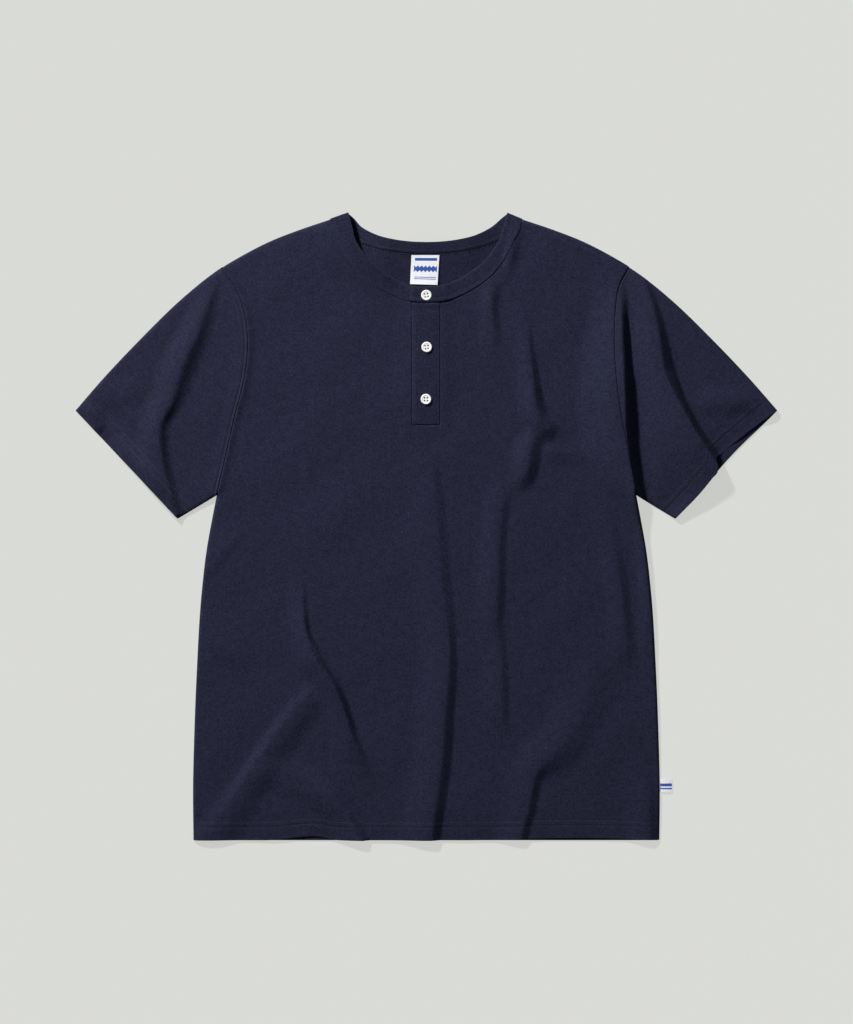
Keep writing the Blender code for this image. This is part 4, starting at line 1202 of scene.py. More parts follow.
CUFF_TOP = SHOULDER[-1]
CUFF_FOOT = Outline(273.4, 8.4)
SLEEVE_WIDE = 165.0  # about its width, for the share of it that the round edges take up
SLEEVE_ACROSS = 150  # columns of its upper layer
SLEEVE_UNDER = 26  # columns of its under layer
SLEEVE_EDGE_ANGLES = np.radians((-90, -67, -45, -22, 0, 22, 45, 67, 90))
SLEEVE_MIDDLE_ROWS = 88
ARMHOLE_STITCHES = (4.4, 7.0)
ARMHOLE_ROW_SUNK = 0.1
ARMHOLE_RUBBED = 5.0  # the cloth is paler at this distance from the armhole
ARMHOLE_RUBBED_REACH = 4.0
ARMHOLE_ROW_ENDS = (UNDERARM_Y + 5.0, SHOULDER_Y - 3.0)
CUFF_ROW_ENDS = (0.012, 0.988)  # shares along the cuff
ROW_POINTS = 120

# Height that the seam allowance adds, at distances from the armhole seam
Allowance = namedtuple("Allowance", "away left right")
ALLOWANCES = (
    Allowance(0.0, 0.7, -0.55),
    Allowance(0.8, 1.3, -0.1),
    Allowance(2.0, 1.1, 0.0),
    Allowance(3.0, 0.6, 0.0),
    Allowance(4.4, 0.15, -0.15),
    Allowance(5.6, 0.6, 0.0),
    Allowance(7.0, 0.7, -0.15),
    Allowance(9.0, 0.75, 0.0),
    Allowance(13.0, 0.55, 0.0),
    Allowance(17.0, 0.25, 0.0),
    Allowance(20.0, 0.0, 0.0),
)

# Distances of the rows beside the armhole, and how far the right sleeve's upper layer is drawn
# back from its cuff, along the cuff from its top
ARMHOLE_STOPS = (21, 19.5, 18, 16, 13, 10, 8.4, 7.7, 7, 6.3, 5.7, 5.1, 4.4, 3.7, 3, 2.3, 1.6, 1, 0.5, 0)
Recess = namedtuple("Recess", "share back")
RIGHT_RECESS = (
    Recess(0.0, 0.0),
    Recess(0.07, 2.0),
    Recess(0.18, 5.0),
    Recess(0.315, 8.4),
    Recess(0.4, 10.0),
    Recess(0.47, 11.2),
    Recess(0.52, 11.8),
    Recess(0.55, 6.0),
    Recess(0.575, 2.8),
    Recess(0.64, 1.6),
    Recess(0.76, 0.0),
    Recess(1.0, 0.0),
)
NO_RECESS = (Recess(0.0, 0.0), Recess(0.5, 0.0), Recess(1.0, 0.0))
RECESS_REACH = 70.0  # the cloth is drawn back over this distance from the cuff
UNDER_RECESS = 2.4  # the under layer's greatest distance from the cuff's straight line
BOW_STARTS = (0.0, 0.4)  # shares along the cuff
BOW_ENDS = (0.46, 0.76)
TUCK = 1.3  # how far the under layer reaches past the armhole, over the back's edge
TUCK_REACH = 3.0
TUCK_RISE = 0.6


def allowance(side, away):
    name = "right" if side > 0 else "left"
    return np.interp(away, column(ALLOWANCES, "away"), column(ALLOWANCES, name))


def between(a, b, share):
    return a + (b - a) * share[..., None]


def sleeve_plan(side, s, t):
    """A point of the sleeve laid flat: s from its upper edge to its underarm edge, t from the
    armhole to the cuff."""
    s, t = np.broadcast_arrays(np.asarray(s, float), np.asarray(t, float))
    cuff_top = np.array(CUFF_TOP, float)
    cuff_foot = np.array(CUFF_FOOT, float)
    underarm = np.array((BODY_WIDTHS[-1].half + SEAM_GAP / 2.0, UNDERARM_Y))

    def upper_edge(at):
        start = abs(armhole_x(SHOULDER_Y, side)) + SEAM_GAP / 2.0
        x = start + (cuff_top[0] - start) * at
        return np.stack([x, shoulder_y(x)], axis=-1)

    def armhole(at):
        y = SHOULDER_Y + (UNDERARM_Y - SHOULDER_Y) * at
        return np.stack([np.abs(armhole_x(y, side)) + SEAM_GAP / 2.0, y], axis=-1)

    zero, one = np.zeros(s.shape), np.ones(s.shape)
    corners = between(
        between(upper_edge(zero), underarm, s), between(upper_edge(one), cuff_foot, s), t
    )
    across = between(upper_edge(t), between(underarm, cuff_foot, t), s)
    down = between(armhole(s), between(cuff_top, cuff_foot, s), t)
    flat = across + down - corners
    return flat[..., 0] * side, flat[..., 1]


def sleeve_stops(side, s):
    """Rows from the cuff to the armhole, as shares t for each s, and how far each is in
    millimetres from the cuff and from the armhole."""
    x0, y0 = sleeve_plan(side, s, 0.0)
    x1, y1 = sleeve_plan(side, s, 1.0)
    length = np.hypot(x1 - x0, y1 - y0)
    hem = 1.0 - (HEM_ROUND + np.array(HEM_STOPS))[:, None] / length
    seam = np.array(ARMHOLE_STOPS, float)[:, None] / length
    share = np.linspace(0.0, 1.0, SLEEVE_MIDDLE_ROWS + 2)[1:-1, None]
    t = np.concatenate([hem, hem[-1] + (seam[0] - hem[-1]) * share, seam])
    return t, (1.0 - t) * length, t * length


def sleeve_sheet(side, recess):
    """The sleeve's tube, from its cuff to its armhole. A row starts at the underarm, runs back
    under the sleeve, round its upper edge and over its top, and down round the underarm edge."""
    angles = SLEEVE_EDGE_ANGLES
    bend = (1.0 - np.cos(angles)) * EDGE_TURN / SLEEVE_WIDE
    rounded = 1.0 - EDGE_TURN / SLEEVE_WIDE
    over = np.linspace(1.0 - rounded, rounded, SLEEVE_ACROSS)[1:-1]
    under = np.linspace(rounded, 1.0 - rounded, SLEEVE_UNDER)[1:-1]
    s = np.concatenate([under, bend, over, 1.0 - bend[::-1]])

    def all_round(below, edge, above):
        return np.concatenate(
            [np.full(len(under), below), edge, np.full(len(over), above), edge[::-1]]
        )

    lift = all_round(0.0, 0.5 * (1.0 + np.sin(angles)), 1.0)
    is_top = all_round(0.0, angles > 0.0, 1.0)
    t, from_cuff, from_armhole = sleeve_stops(side, s)
    back = smooth_value(s, column(recess, "share"), column(recess, "back"))
    bowed = UNDER_RECESS * rising(s, *BOW_STARTS) * falling(s, *BOW_ENDS) * (side > 0)
    back = np.where(is_top > 0.0, back, bowed)
    tuck = (1.0 - is_top) * falling(from_armhole, 0.0, TUCK_REACH)
    pulled = falling(from_cuff, 0.0, RECESS_REACH) * back * t + TUCK * tuck
    t = t - pulled / np.maximum(from_cuff + from_armhole, 1.0)
    x, y = sleeve_plan(side, s, t)
    top = top_height(x, y) + hem_relief(from_cuff)
    top = top + allowance(side, from_armhole)
    points = np.stack([x, y, top * lift + TUCK_RISE * tuck], axis=-1)
    way = np.array((CUFF_TOP.x - CUFF_FOOT.x, CUFF_TOP.y - CUFF_FOOT.y))
    way = way / np.hypot(*way)
    u = np.abs(x) * way[0] + y * way[1]
    v = np.abs(x) * way[1] - y * way[0]
    fold = u[:, len(under) : len(under) + 1]
    u = np.where(np.arange(len(s)) < len(under), 2.0 * fold - u, u)
    flat = np.stack([u, v], axis=-1)
    last = flat[:, :1].copy()
    last[..., 0] = 2.0 * fold - last[..., 0]
    worn = hem_worn(from_cuff) + 0.5 * bell(from_armhole - ARMHOLE_RUBBED, ARMHOLE_RUBBED_REACH)
    return points, flat, np.minimum(worn, 1.0), last


def sleeve_object(name, side, recess):
    points, flat, worn, last = sleeve_sheet(side, recess)
    points, hem_flat, worn = with_hem(points, flat, worn, sign=-side, ring=True)
    on_fold = np.repeat(last[:1], len(HEM_BENDS), axis=0)
    last = np.concatenate([2.0 * last[:1] - last[HEM_TURNED::-1], on_fold, last])
    flat = np.concatenate([hem_flat, last], axis=1)
    obj = sheet_object(name, points, flat, worn, NAVY_JERSEY, JERSEY, ring=True, flip=side > 0)
    return obj, flat


def cuff_row(side, recess, away):
    s = np.linspace(*CUFF_ROW_ENDS, ROW_POINTS)
    t, from_cuff, from_armhole = sleeve_stops(side, s)
    length = from_cuff[0] + from_armhole[0]
    back = smooth_value(s, column(recess, "share"), column(recess, "back"))
    at = 1.0 - (away + back * falling(away, 0.0, RECESS_REACH)) / length
    x, y = sleeve_plan(side, s, at)
    return on_top(x, y, hem_relief(away) - ROW_SUNK)


def armhole_row(side, away):
    y = np.linspace(*ARMHOLE_ROW_ENDS, ROW_POINTS)
    slope = np.gradient(armhole_x(y, side), y)
    x = armhole_x(y, side) + side * away / np.hypot(1.0, slope)
    y = y - side * away * slope / np.hypot(1.0, slope)
    return on_top(x, y, allowance(side, away) - ARMHOLE_ROW_SUNK)


for name, side, recess in (("left", -1, NO_RECESS), ("right", 1, RIGHT_RECESS)):
    sleeve, sleeve_flat = sleeve_object(f"sleeve_{name}_tube", side, recess)
    sleeve_rows = [cuff_row(side, recess, away) for away in HEM_STITCHES]
    sleeve_rows += [armhole_row(side, away) for away in ARMHOLE_STITCHES]
    sleeve_stitches = sewn(f"sleeve_{name}_stitches", sleeve_rows, TWIN_NEEDLE, NAVY_THREAD)
    stands_for(sleeve, f"sleeve_{name}")


# ---------------------------------------------------------------------------- Neckband
# The neckband is one strip of the jersey folded double, with its fold as the free edge. It is
# sewn to the neckline all round, turns over at the two shoulder points, and its ends cross under
# the top button. At the back its seam is covered by a looped stitch.

BAND_THICK = 1.0
BAND_BULGE = 3.5  # the part of its height that rounds outwards where it turns over
BAND_WIDE = 17.8
BAND_OVER_X = -19.2  # the end that lies on top
BAND_UNDER_X = 12.0  # the end beneath it
BAND_RISE_X = 46.0  # the over end starts to climb here
BAND_REST = 0.55  # height of its under face at the back, on the edge of the back panel
BAND_SINK = 0.5  # how much lower its seam edge lies there
SEAM_SIDE = 8.0  # its seam side is one part in this many of its width
ON_FRONT = 0.99  # a section's level share from which it lies on the front

# Along its seam a roll and the trough beside it, which fade out towards the left
Bead = namedtuple("Bead", "place reach height")
BAND_BEADS = (Bead(2.4, 1.5, 0.45), Bead(4.8, 1.0, -0.22))
BEADS_X = (-72.0, 0.0)
BAND_PROUD = 0.4  # how much higher its seam edge lies on the right
BAND_PROUD_REACH = 1.6
BAND_PROUD_X = (10.0, 40.0)
BAND_EDGE_ROUND = 2.0  # the part of its width beside its free edge that rounds off
BAND_EDGE_DROP = 0.5
BAND_LIP = 1.3  # how far the free edge stands up on the left
BAND_LIP_X = (-50.0, -24.0)
BAND_TUCK = 1.0  # how far its seam edge runs under the front on the left
BAND_TUCK_X = (-62.0, -48.0)
BAND_TUCK_DROP = 0.15

# How far its free edge is drawn in on the left, as much again at the shoulder, and twice as far
# at the back, and where along Y each of them grows
EDGE_DRAWN = 1.6
DRAWN_Y = (265.0, 295.0)
DRAWN_CORNER_Y = (312.0, 328.0)
DRAWN_BACK_Y = (326.0, 342.0)

FRONT_SECTIONS = 84  # in each half of the front
BACK_SECTIONS = 60  # in each half of the back
TURNED_ANGLES = np.radians(np.linspace(80.0, -80.0, 11))
BAND_COLUMNS = 12  # in each layer
STRIP_WORN = 0.75
STRIP_WORN_REACH = 1.4

# The rows along the back neck start at a share of the way from the shoulder point. Each lies at a
# share across the band, which is negative beyond its seam.
BACK_ROW_START = 0.06
BACK_ROW_POINTS = 90
COVER_SHARE = 0.04
COVER_SUNK = 0.3
BAND_ROW_SHARE = 0.20
BACK_ROW_SHARE = -0.12
BACK_ROW_PROUD = 0.05
END_STEPS = np.array((0.0, 0.12, 0.45, 1.0))  # distances from a strip's end where it is rounded
END_THIN = 0.08  # share of a strip's thickness that is left at its end

BAND_NAVY = scaled(NAVY, 0.97)
BAND_WALE = 0.0008
BAND_COURSE = 0.00066
BAND_JERSEY = jersey("navy_band_jersey", BAND_NAVY, BAND_WALE, BAND_COURSE, mottle=1.3, bump=0.6)


def stadium(width, thick, steps):
    """(share across, depth) round a strip's section, with both its long edges rounded."""
    part = thick / 2.0 / width
    over = np.linspace(part, 1.0 - part, steps)
    bends = np.radians((30, 60, 90, 120, 150))
    ring = [(s, 0.0) for s in over]
    ring += [(1.0 - part + part * math.sin(a), thick / 2.0 * (1.0 - math.cos(a))) for a in bends]
    ring += [(s, thick) for s in over[::-1]]
    ring += [(part - part * math.sin(a), thick / 2.0 * (1.0 + math.cos(a))) for a in bends]
    return ring


def strip_object(name, ring, base, out, squeeze, run, wide, thick, finish):
    """A strip of doubled cloth: a section at each place along it. base gives the outer face at a
    share across, out points away from that face, and squeeze rounds off the strip's ends."""
    middle = thick / 2.0
    columns = [
        base(share) - out * (middle + (depth - middle) * squeeze)[:, None] for share, depth in ring
    ]
    points = np.stack(columns, axis=1)
    across = np.array([share for share, _ in ring])
    sides = np.array([0.0 if depth < middle else 2.0 * wide for _, depth in ring] + [0.0])
    u = np.abs(sides - np.append(across, across[0]) * wide)
    flat = np.stack(np.broadcast_arrays(u[None, :], run[:, None]), axis=-1)
    worn = STRIP_WORN * np.exp(-np.minimum(across, 1.0 - across) * wide / STRIP_WORN_REACH)
    worn = np.repeat(worn[None, :], len(points), axis=0)
    obj = sheet_object(name, points, flat, worn, finish, None, ring=True)
    close_ends(obj.data)
    return obj


def close_ends(data):
    mesh = bmesh.new()
    mesh.from_mesh(data)
    open_edges = [edge for edge in mesh.edges if edge.is_boundary]
    bmesh.ops.holes_fill(mesh, edges=open_edges)
    mesh.to_mesh(data)
    mesh.free()


def end_squeeze(from_end):
    """Share of a strip's thickness at a distance from its end."""
    share = np.clip(from_end / END_STEPS[-1], 0.0, 1.0)
    return np.maximum(np.sqrt(1.0 - (1.0 - share) ** 2), END_THIN)


def over_rise(x):
    """How much the over end has climbed above the under end."""
    return falling(x, PLACKET_WIDTH / 2.0, BAND_RISE_X) * (BAND_THICK + SEAM_GAP)


def signed_share(x):
    """Share along the front table at a distance from the middle, negative across it."""
    return math.copysign(float(np.interp(abs(x), SEAM_POINTS[:, 0], SEAM_SHARES)), x)


# A section of the strip: its seam's and its free edge's points, which way its outer face looks,
# its rise above the front, and its level, from 1 on the front to 0 at the back
Section = namedtuple("Section", "seam edge out rise level")
UP = np.array((0.0, 0.0, 1.0))


def front_band(side, end_x, climbs):
    """Sections from an end of the strip out to the shoulder point."""
    ends = [signed_share(end_x + step) for step in END_STEPS]
    q = np.concatenate([ends[:-1], np.linspace(ends[-1], 1.0, FRONT_SECTIONS)])
    seam, edge = band_points(BAND_FRONT, np.abs(q))
    mirror = np.stack([np.where(q < 0, -side, side), np.ones(len(q))], axis=-1)
    rise = over_rise(np.copysign(seam[:, 0], q)) if climbs else np.zeros(len(q))
    return [Section(a, b, UP, r, 1.0) for a, b, r in zip(seam * mirror, edge * mirror, rise)]


def turned_band(side):
    """Sections that turn over at a shoulder point, from the front's level to the surface."""
    mirror = np.array((side, 1.0))
    seam, edge = (part[0] for part in band_points(BAND_FRONT, [1.0]))
    run = (edge - seam) / np.linalg.norm(edge - seam)
    away = np.array((-run[1], run[0])) * math.copysign(1.0, run[0]) * mirror
    return [
        Section(
            seam * mirror,
            edge * mirror,
            np.array((*(away * math.cos(angle)), math.sin(angle))),
            0.0,
            0.5 * (1.0 + math.sin(angle)),
        )
        for angle in TURNED_ANGLES
    ]


def back_band(side):
    """Sections along the back from a shoulder point to the middle."""
    mirror = np.array((side, 1.0))
    seam, edge = band_points(BAND_BACK, np.linspace(0.0, 1.0, BACK_SECTIONS))
    return [Section(a * mirror, b * mirror, -UP, 0.0, 0.0) for a, b in zip(seam, edge)]


def neckband_sections():
    """The sections in the order that the strip runs, from its under end to its over end."""
    return [
        *front_band(-1, -BAND_UNDER_X, climbs=False),
        *turned_band(-1),
        *back_band(-1),
        *back_band(1)[-2::-1],
        *turned_band(1)[::-1],
        *front_band(1, BAND_OVER_X, climbs=True)[::-1],
    ]


def neckband_object():
    strip = neckband_sections()
    seam, edge, out, rise, level = (np.array(column(strip, name)) for name in Section._fields)
    steps = np.linalg.norm(np.diff(seam + edge, axis=0), axis=1) / 2.0
    run = np.concatenate([[0.0], np.cumsum(steps)])
    on_front = level > ON_FRONT

    edge_y = edge[:, 1]
    drawn = EDGE_DRAWN * (rising(edge_y, *DRAWN_Y) + rising(edge_y, *DRAWN_CORNER_Y))
    drawn_back = 2.0 * EDGE_DRAWN * rising(edge_y, *DRAWN_BACK_Y)
    drawn = (seam[:, 0] < 0.0) * np.where(level > 0.0, drawn, drawn_back)
    tucked = on_front * falling(seam[:, 0], *BAND_TUCK_X)

    def base(share):
        seam_side = max(1.0 - share * SEAM_SIDE, 0.0)
        reach = share - seam_side * tucked * BAND_TUCK / BAND_WIDE
        plan = seam + (edge - seam) * reach[:, None]
        plan[:, 0] += share * drawn
        x, y = plan.T
        wide = share * BAND_WIDE
        edge_share = max((wide - BAND_WIDE) / BAND_EDGE_ROUND + 1.0, 0.0)
        rolls = sum(bead.height * bell(wide - bead.place, bead.reach) for bead in BAND_BEADS)
        rolls = (rolls - BAND_EDGE_DROP * edge_share**2) * rising(x, *BEADS_X)
        lip = BAND_LIP * share**3 * falling(x, *BAND_LIP_X)
        proud = BAND_PROUD * bell(wide, BAND_PROUD_REACH) * rising(x, *BAND_PROUD_X)
        height = top_height(x, y) + rise + on_front * (rolls + lip + proud)
        height = height - BAND_TUCK_DROP * seam_side * tucked
        flat_out = np.hypot(out[:, 0], out[:, 1])
        lean = np.minimum(height, BAND_BULGE) / 2.0 * flat_out
        plan = plan + out[:, :2] * (lean / np.maximum(flat_out, 1e-9))[:, None]
        low = back_rise(plan[:, 0], plan[:, 1]) + BAND_REST - BAND_SINK * seam_side
        return np.column_stack([plan, height * level + low * (1.0 - level)])

    from_end = np.minimum(run, run[-1] - run)
    band = strip_object(
        "neckband_strip",
        stadium(BAND_WIDE, BAND_THICK, BAND_COLUMNS),
        base,
        out,
        end_squeeze(from_end),
        run,
        BAND_WIDE,
        BAND_THICK,
        BAND_JERSEY,
    )
    return band, float(run[-1])


neckband, band_length = neckband_object()


def back_seam_row(share, lift):
    """A line along the back neck at a share across the band."""
    seam, edge = band_points(BAND_BACK, np.linspace(BACK_ROW_START, 1.0, BACK_ROW_POINTS))
    plan = seam + (edge - seam) * share
    left = np.column_stack([-plan[:, 0], plan[:, 1]])
    line = np.concatenate([left, plan[-2::-1]])
    return np.column_stack([line, back_rise(*line.T) + lift])


COVER_STITCH = zigzag_stitch(1.9, 4.2, 0.18)
NECK_STITCH = running_stitch(2.3, 2.8, 0.24)
band_top = BAND_REST + BAND_THICK
cover_line = back_seam_row(COVER_SHARE, band_top - COVER_SUNK)
neck_lines = [
    back_seam_row(BAND_ROW_SHARE, band_top),
    back_seam_row(BACK_ROW_SHARE, JERSEY + BACK_ROW_PROUD),
]
neck_cover = sewn("back_neck_cover_stitch", [cover_line], COVER_STITCH, NAVY_THREAD)
neck_rows = sewn("back_neck_stitches", neck_lines, NECK_STITCH, NAVY_THREAD)
stands_for(neckband, "neckband")


# ---------------------------------------------------------------------------- Placket
# Two strips of doubled jersey close the slit. The under strip fills it and carries the buttons.
# The over strip has the buttonholes. It lies on top, is edge-stitched down both sides, and is
# boxed off at its lower end.

PLACKET_THICK = 1.0
PLACKET_STITCH = 1.7  # the edge stitching's distance from the edge
PLACKET_BOX = 7.8  # the upper row of the box, from the lower end
PLACKET_GROOVE = 0.35  # depth of the trough along its stitching
PLACKET_EDGE_ROUND = 1.3  # how far in its edges round off
PLACKET_EDGE_DROP = 0.315
PLACKET_TUCK = 1.0  # how far the over strip dips to the neckband
PLACKET_TUCK_REACH = 3.6
PLACKET_TOP_ROW = 238.8  # the row of stitches across the placket under the neckband
PLACKET_TOP_GROOVE = 0.5
PLACKET_TOP_GROOVE_REACH = 1.0
PLACKET_TOP_SWELL = 0.6  # how far the strip swells between that row and the neckband
PLACKET_TOP_SWELL_REACH = 4.4
PLACKET_ROWS_SUNK = 0.2  # how far its stitches sit in the strip
PLACKET_ROW_POINTS = 50
OVER_LIFT = 0.15
UNDER_THICK = 0.8
UNDER_BOTTOM = SLIT_BOTTOM + 4.5
UNDER_TOP = float(neckline_y(0.0))
OVER_TOP = UNDER_TOP + 1.5
STRIP_ROWS = 66
STRIP_COLUMNS = 22


def over_relief(share, y):
    """What the over strip's stitching, its round edges and its end under the neckband add to its
    height, at a share of the way across."""
    sides = (share * PLACKET_WIDTH, (1.0 - share) * PLACKET_WIDTH)
    foot = y - PLACKET_BOTTOM
    grooves = sum(bell(side - PLACKET_STITCH, GROOVE_REACH) for side in sides)
    grooves = grooves + sum(bell(foot - row, GROOVE_REACH) for row in (PLACKET_STITCH, PLACKET_BOX))
    insets = (min(sides), foot)
    edges = sum(np.maximum(1.0 - inset / PLACKET_EDGE_ROUND, 0.0) ** 2 for inset in insets)
    from_row = y - PLACKET_TOP_ROW
    return (
        PLACKET_TOP_SWELL * rising(from_row, 0.0, PLACKET_TOP_SWELL_REACH)
        - PLACKET_TOP_GROOVE * bell(from_row, PLACKET_TOP_GROOVE_REACH)
        - PLACKET_TUCK * falling(OVER_TOP - y, 0.0, PLACKET_TUCK_REACH)
        - PLACKET_GROOVE * grooves
        - PLACKET_EDGE_DROP * edges
    )


def placket_object(name, wide, bottom, top, lift, thick, relief=None):
    ends = (bottom + END_STEPS[-1], top - END_STEPS[-1])
    y = np.concatenate([bottom + END_STEPS[:-1], np.linspace(*ends, STRIP_ROWS), [top]])
    out = np.repeat(UP[None], len(y), axis=0)

    def base(share):
        x = np.full(len(y), PLACKET_X + (share - 0.5) * wide)
        added = lift + relief(share, y) if relief else lift
        return on_top(x, y, added)

    ring = stadium(wide, thick, STRIP_COLUMNS)
    return strip_object(name, ring, base, out, end_squeeze(y - bottom), y, wide, thick, BAND_JERSEY)


placket_under = placket_object(
    "placket_under_strip",
    SLIT_WIDTH - 2.0 * SEAM_GAP,
    UNDER_BOTTOM,
    UNDER_TOP,
    -PLACKET_SINK,
    UNDER_THICK,
)
stands_for(placket_under, "placket_under")

placket_over = placket_object(
    "placket_over_strip",
    PLACKET_WIDTH,
    PLACKET_BOTTOM,
    OVER_TOP,
    OVER_LIFT,
    PLACKET_THICK,
    over_relief,
)


def placket_row(x0, y0, x1, y1):
    share = np.linspace(0.0, 1.0, PLACKET_ROW_POINTS)
    height = OVER_LIFT - PLACKET_ROWS_SUNK
    return on_top(x0 + (x1 - x0) * share, y0 + (y1 - y0) * share, height)


row_left = PLACKET_X - PLACKET_WIDTH / 2.0 + PLACKET_STITCH
row_right = PLACKET_X + PLACKET_WIDTH / 2.0 - PLACKET_STITCH
row_foot = PLACKET_BOTTOM + PLACKET_STITCH
rows_down = [placket_row(x, UNDER_TOP - 1.0, x, row_foot) for x in (row_left, row_right)]
rows_across = [
    placket_row(row_left, y, row_right, y)
    for y in (row_foot, PLACKET_BOTTOM + PLACKET_BOX, PLACKET_TOP_ROW)
]
PLACKET_SEWING = running_stitch(2.2, 2.7, 0.22)
placket_lines = rows_down + rows_across
placket_stitches = sewn("placket_stitches", placket_lines, PLACKET_SEWING, NAVY_THREAD)


# Buttonholes: a narrow loop of dense zigzag stitches under each button, cut down its middle. The
# top one lies across the placket.
Button = namedtuple("Button", "x y turn")
BUTTONS = (
    Button(0.0, 253.8, 10.0),
    Button(0.4, 196.9, 6.0),
    Button(-0.4, 139.7, 0.0),
)
BUTTONHOLE_WIDE = 2.6
BUTTONHOLE_LONG = 16.0
BUTTONHOLE_PROUD = 0.03
BUTTONHOLE_TURNS = np.radians(np.linspace(0.0, 180.0, 9))  # round each of its ends
BUTTONHOLE_STITCH = zigzag_stitch(0.42, 1.5, 0.19)


def buttonhole_line(button):
    half_wide = BUTTONHOLE_WIDE / 2.0
    half_long = BUTTONHOLE_LONG / 2.0 - half_wide
    end_x = half_wide * np.cos(BUTTONHOLE_TURNS)
    end_y = half_long + half_wide * np.sin(BUTTONHOLE_TURNS)
    x = np.concatenate([end_x, -end_x, [half_wide]])
    y = np.concatenate([end_y, -end_y, [half_long]])
    if button is BUTTONS[0]:
        x, y = y, x
    return on_top(button.x + x, button.y + y, OVER_LIFT + BUTTONHOLE_PROUD)


buttonhole_lines = [buttonhole_line(button) for button in BUTTONS]
buttonholes = sewn("buttonhole_stitches", buttonhole_lines, BUTTONHOLE_STITCH, NAVY_THREAD)
stands_for(placket_over, "placket_over")


# ---------------------------------------------------------------------------- Buttons
# Three ivory polyester buttons, turned with a raised rim and a shallow dish, drilled with four
# holes and sewn on with ivory thread. They are fastened through the over strip.

BUTTON_HOLE = 1.8
BUTTON_HOLES_APART = 3.2
BUTTON_STEPS = 56
HOLE_TURNS = [math.radians(45.0 + 90.0 * k) for k in range(4)]
DRILL_LONG = 10.0
IVORY_LOW = (0.80, 0.78, 0.73)
IVORY_HIGH = (0.90, 0.89, 0.87)
SHARP_BUTTON = math.radians(38.0)

# The turned profile, from the middle of its face out round its rim to the middle of its back
Turned = namedtuple("Turned", "radius height")
BUTTON_PROFILE = (
    Turned(0.0, 1.95),
    Turned(2.5, 1.95),
    Turned(3.4, 2.0),
    Turned(4.05, 2.17),
    Turned(4.5, 2.36),
    Turned(4.9, 2.4),
    Turned(5.3, 2.3),
    Turned(5.65, 2.0),
    Turned(5.8, 1.5),
    Turned(5.72, 0.9),
    Turned(5.4, 0.35),
    Turned(4.8, 0.05),
    Turned(4.1, 0.0),
    Turned(0.0, 0.0),
)

BUTTON_SUNK = 0.3  # how far a button is pressed into the cloth
THREAD_ROUND = 0.3
STRANDS_APART = 0.34
STRAND_TOP = 2.12
STRAND_DIP = 1.4  # how far a strand goes down into its holes
STRAND_BEND = 6.0  # the higher, the shorter the bend at a hole's edge
STRAND_REACH = 0.74  # a strand's ends, as a share of the holes' distance from the middle
STRAND_POINTS = 13
IVORY_THREAD_COLOUR = (0.74, 0.70, 0.62)


def button_material():
    """Cast polyester: ivory, faintly clouded, polished."""
    made, tree, shader = new_material("ivory_button")
    place = add_node(tree, "ShaderNodeTexCoord").outputs["Object"]
    cloud = speckle(tree, place, 260.0, 3.0)
    inputs = {
        "Base Color": blended(tree, cloud, IVORY_LOW, IVORY_HIGH),
        "Roughness": maths(tree, "MULTIPLY_ADD", speckle(tree, place, 900.0, 2.0), 0.2, 0.25),
        "Subsurface Weight": 0.12,
        "Subsurface Scale": 0.001,
    }
    set_inputs(tree, shader, inputs)
    return made


IVORY_BUTTON = button_material()
IVORY_THREAD = thread_material("ivory_thread", IVORY_THREAD_COLOUR, 0.6)


def mesh_data(mesh, name):
    """A bmesh as mesh data."""
    data = bpy.data.meshes.new(name)
    mesh.to_mesh(data)
    mesh.free()
    return data


def drill_object(turn):
    """A round bar where a hole goes, at an angle round the button."""
    away = BUTTON_HOLES_APART / math.sqrt(2.0) * MM
    radius = BUTTON_HOLE / 2.0 * MM
    drill = bmesh.new()
    bmesh.ops.create_cone(
        drill, cap_ends=True, segments=20, radius1=radius, radius2=radius, depth=DRILL_LONG * MM
    )
    place = (away * math.cos(turn), away * math.sin(turn), 0.0)
    bmesh.ops.translate(drill, vec=place, verts=drill.verts)
    return placed("drill", mesh_data(drill, "drill"))


def button_object(name, button, base):
    """A turned profile, drilled with four holes."""
    mesh = bmesh.new()
    verts = [mesh.verts.new((x * MM, 0.0, z * MM)) for x, z in BUTTON_PROFILE]
    edges = [mesh.edges.new(pair) for pair in zip(verts, verts[1:])]
    bmesh.ops.spin(
        mesh,
        geom=verts + edges,
        cent=(0.0, 0.0, 0.0),
        axis=(0.0, 0.0, 1.0),
        angle=2.0 * math.pi,
        steps=BUTTON_STEPS,
        use_merge=True,
    )
    bmesh.ops.remove_doubles(mesh, verts=mesh.verts, dist=0.005 * MM)
    bmesh.ops.recalc_face_normals(mesh, faces=mesh.faces)
    obj = placed(name, mesh_data(mesh, name))
    drills = [drill_object(turn) for turn in HOLE_TURNS]
    for drill in drills:
        cut = obj.modifiers.new("hole", "BOOLEAN")
        cut.operation = "DIFFERENCE"
        cut.object = drill
    obj = made_mesh(obj)
    for drill in drills:
        bpy.data.objects.remove(drill)
    obj.data.materials.clear()
    obj.data.materials.append(IVORY_BUTTON)
    set_in_place(obj.data, button, base)
    obj.data.shade_smooth()
    obj.data.set_sharp_from_angle(angle=SHARP_BUTTON)
    return obj


def set_in_place(data, button, base):
    """Turns a mesh made at the origin to the button's angle and moves it to its place."""
    co = np.zeros(len(data.vertices) * 3)
    data.vertices.foreach_get("co", co)
    co = co.reshape(-1, 3)
    turn = math.radians(button.turn)
    x = co[:, 0] * math.cos(turn) - co[:, 1] * math.sin(turn) + button.x * MM
    y = co[:, 0] * math.sin(turn) + co[:, 1] * math.cos(turn) + button.y * MM
    moved = np.column_stack([x, y, co[:, 2] + base * MM])
    data.vertices.foreach_set("co", moved.astype(np.float32).ravel())
    data.update()


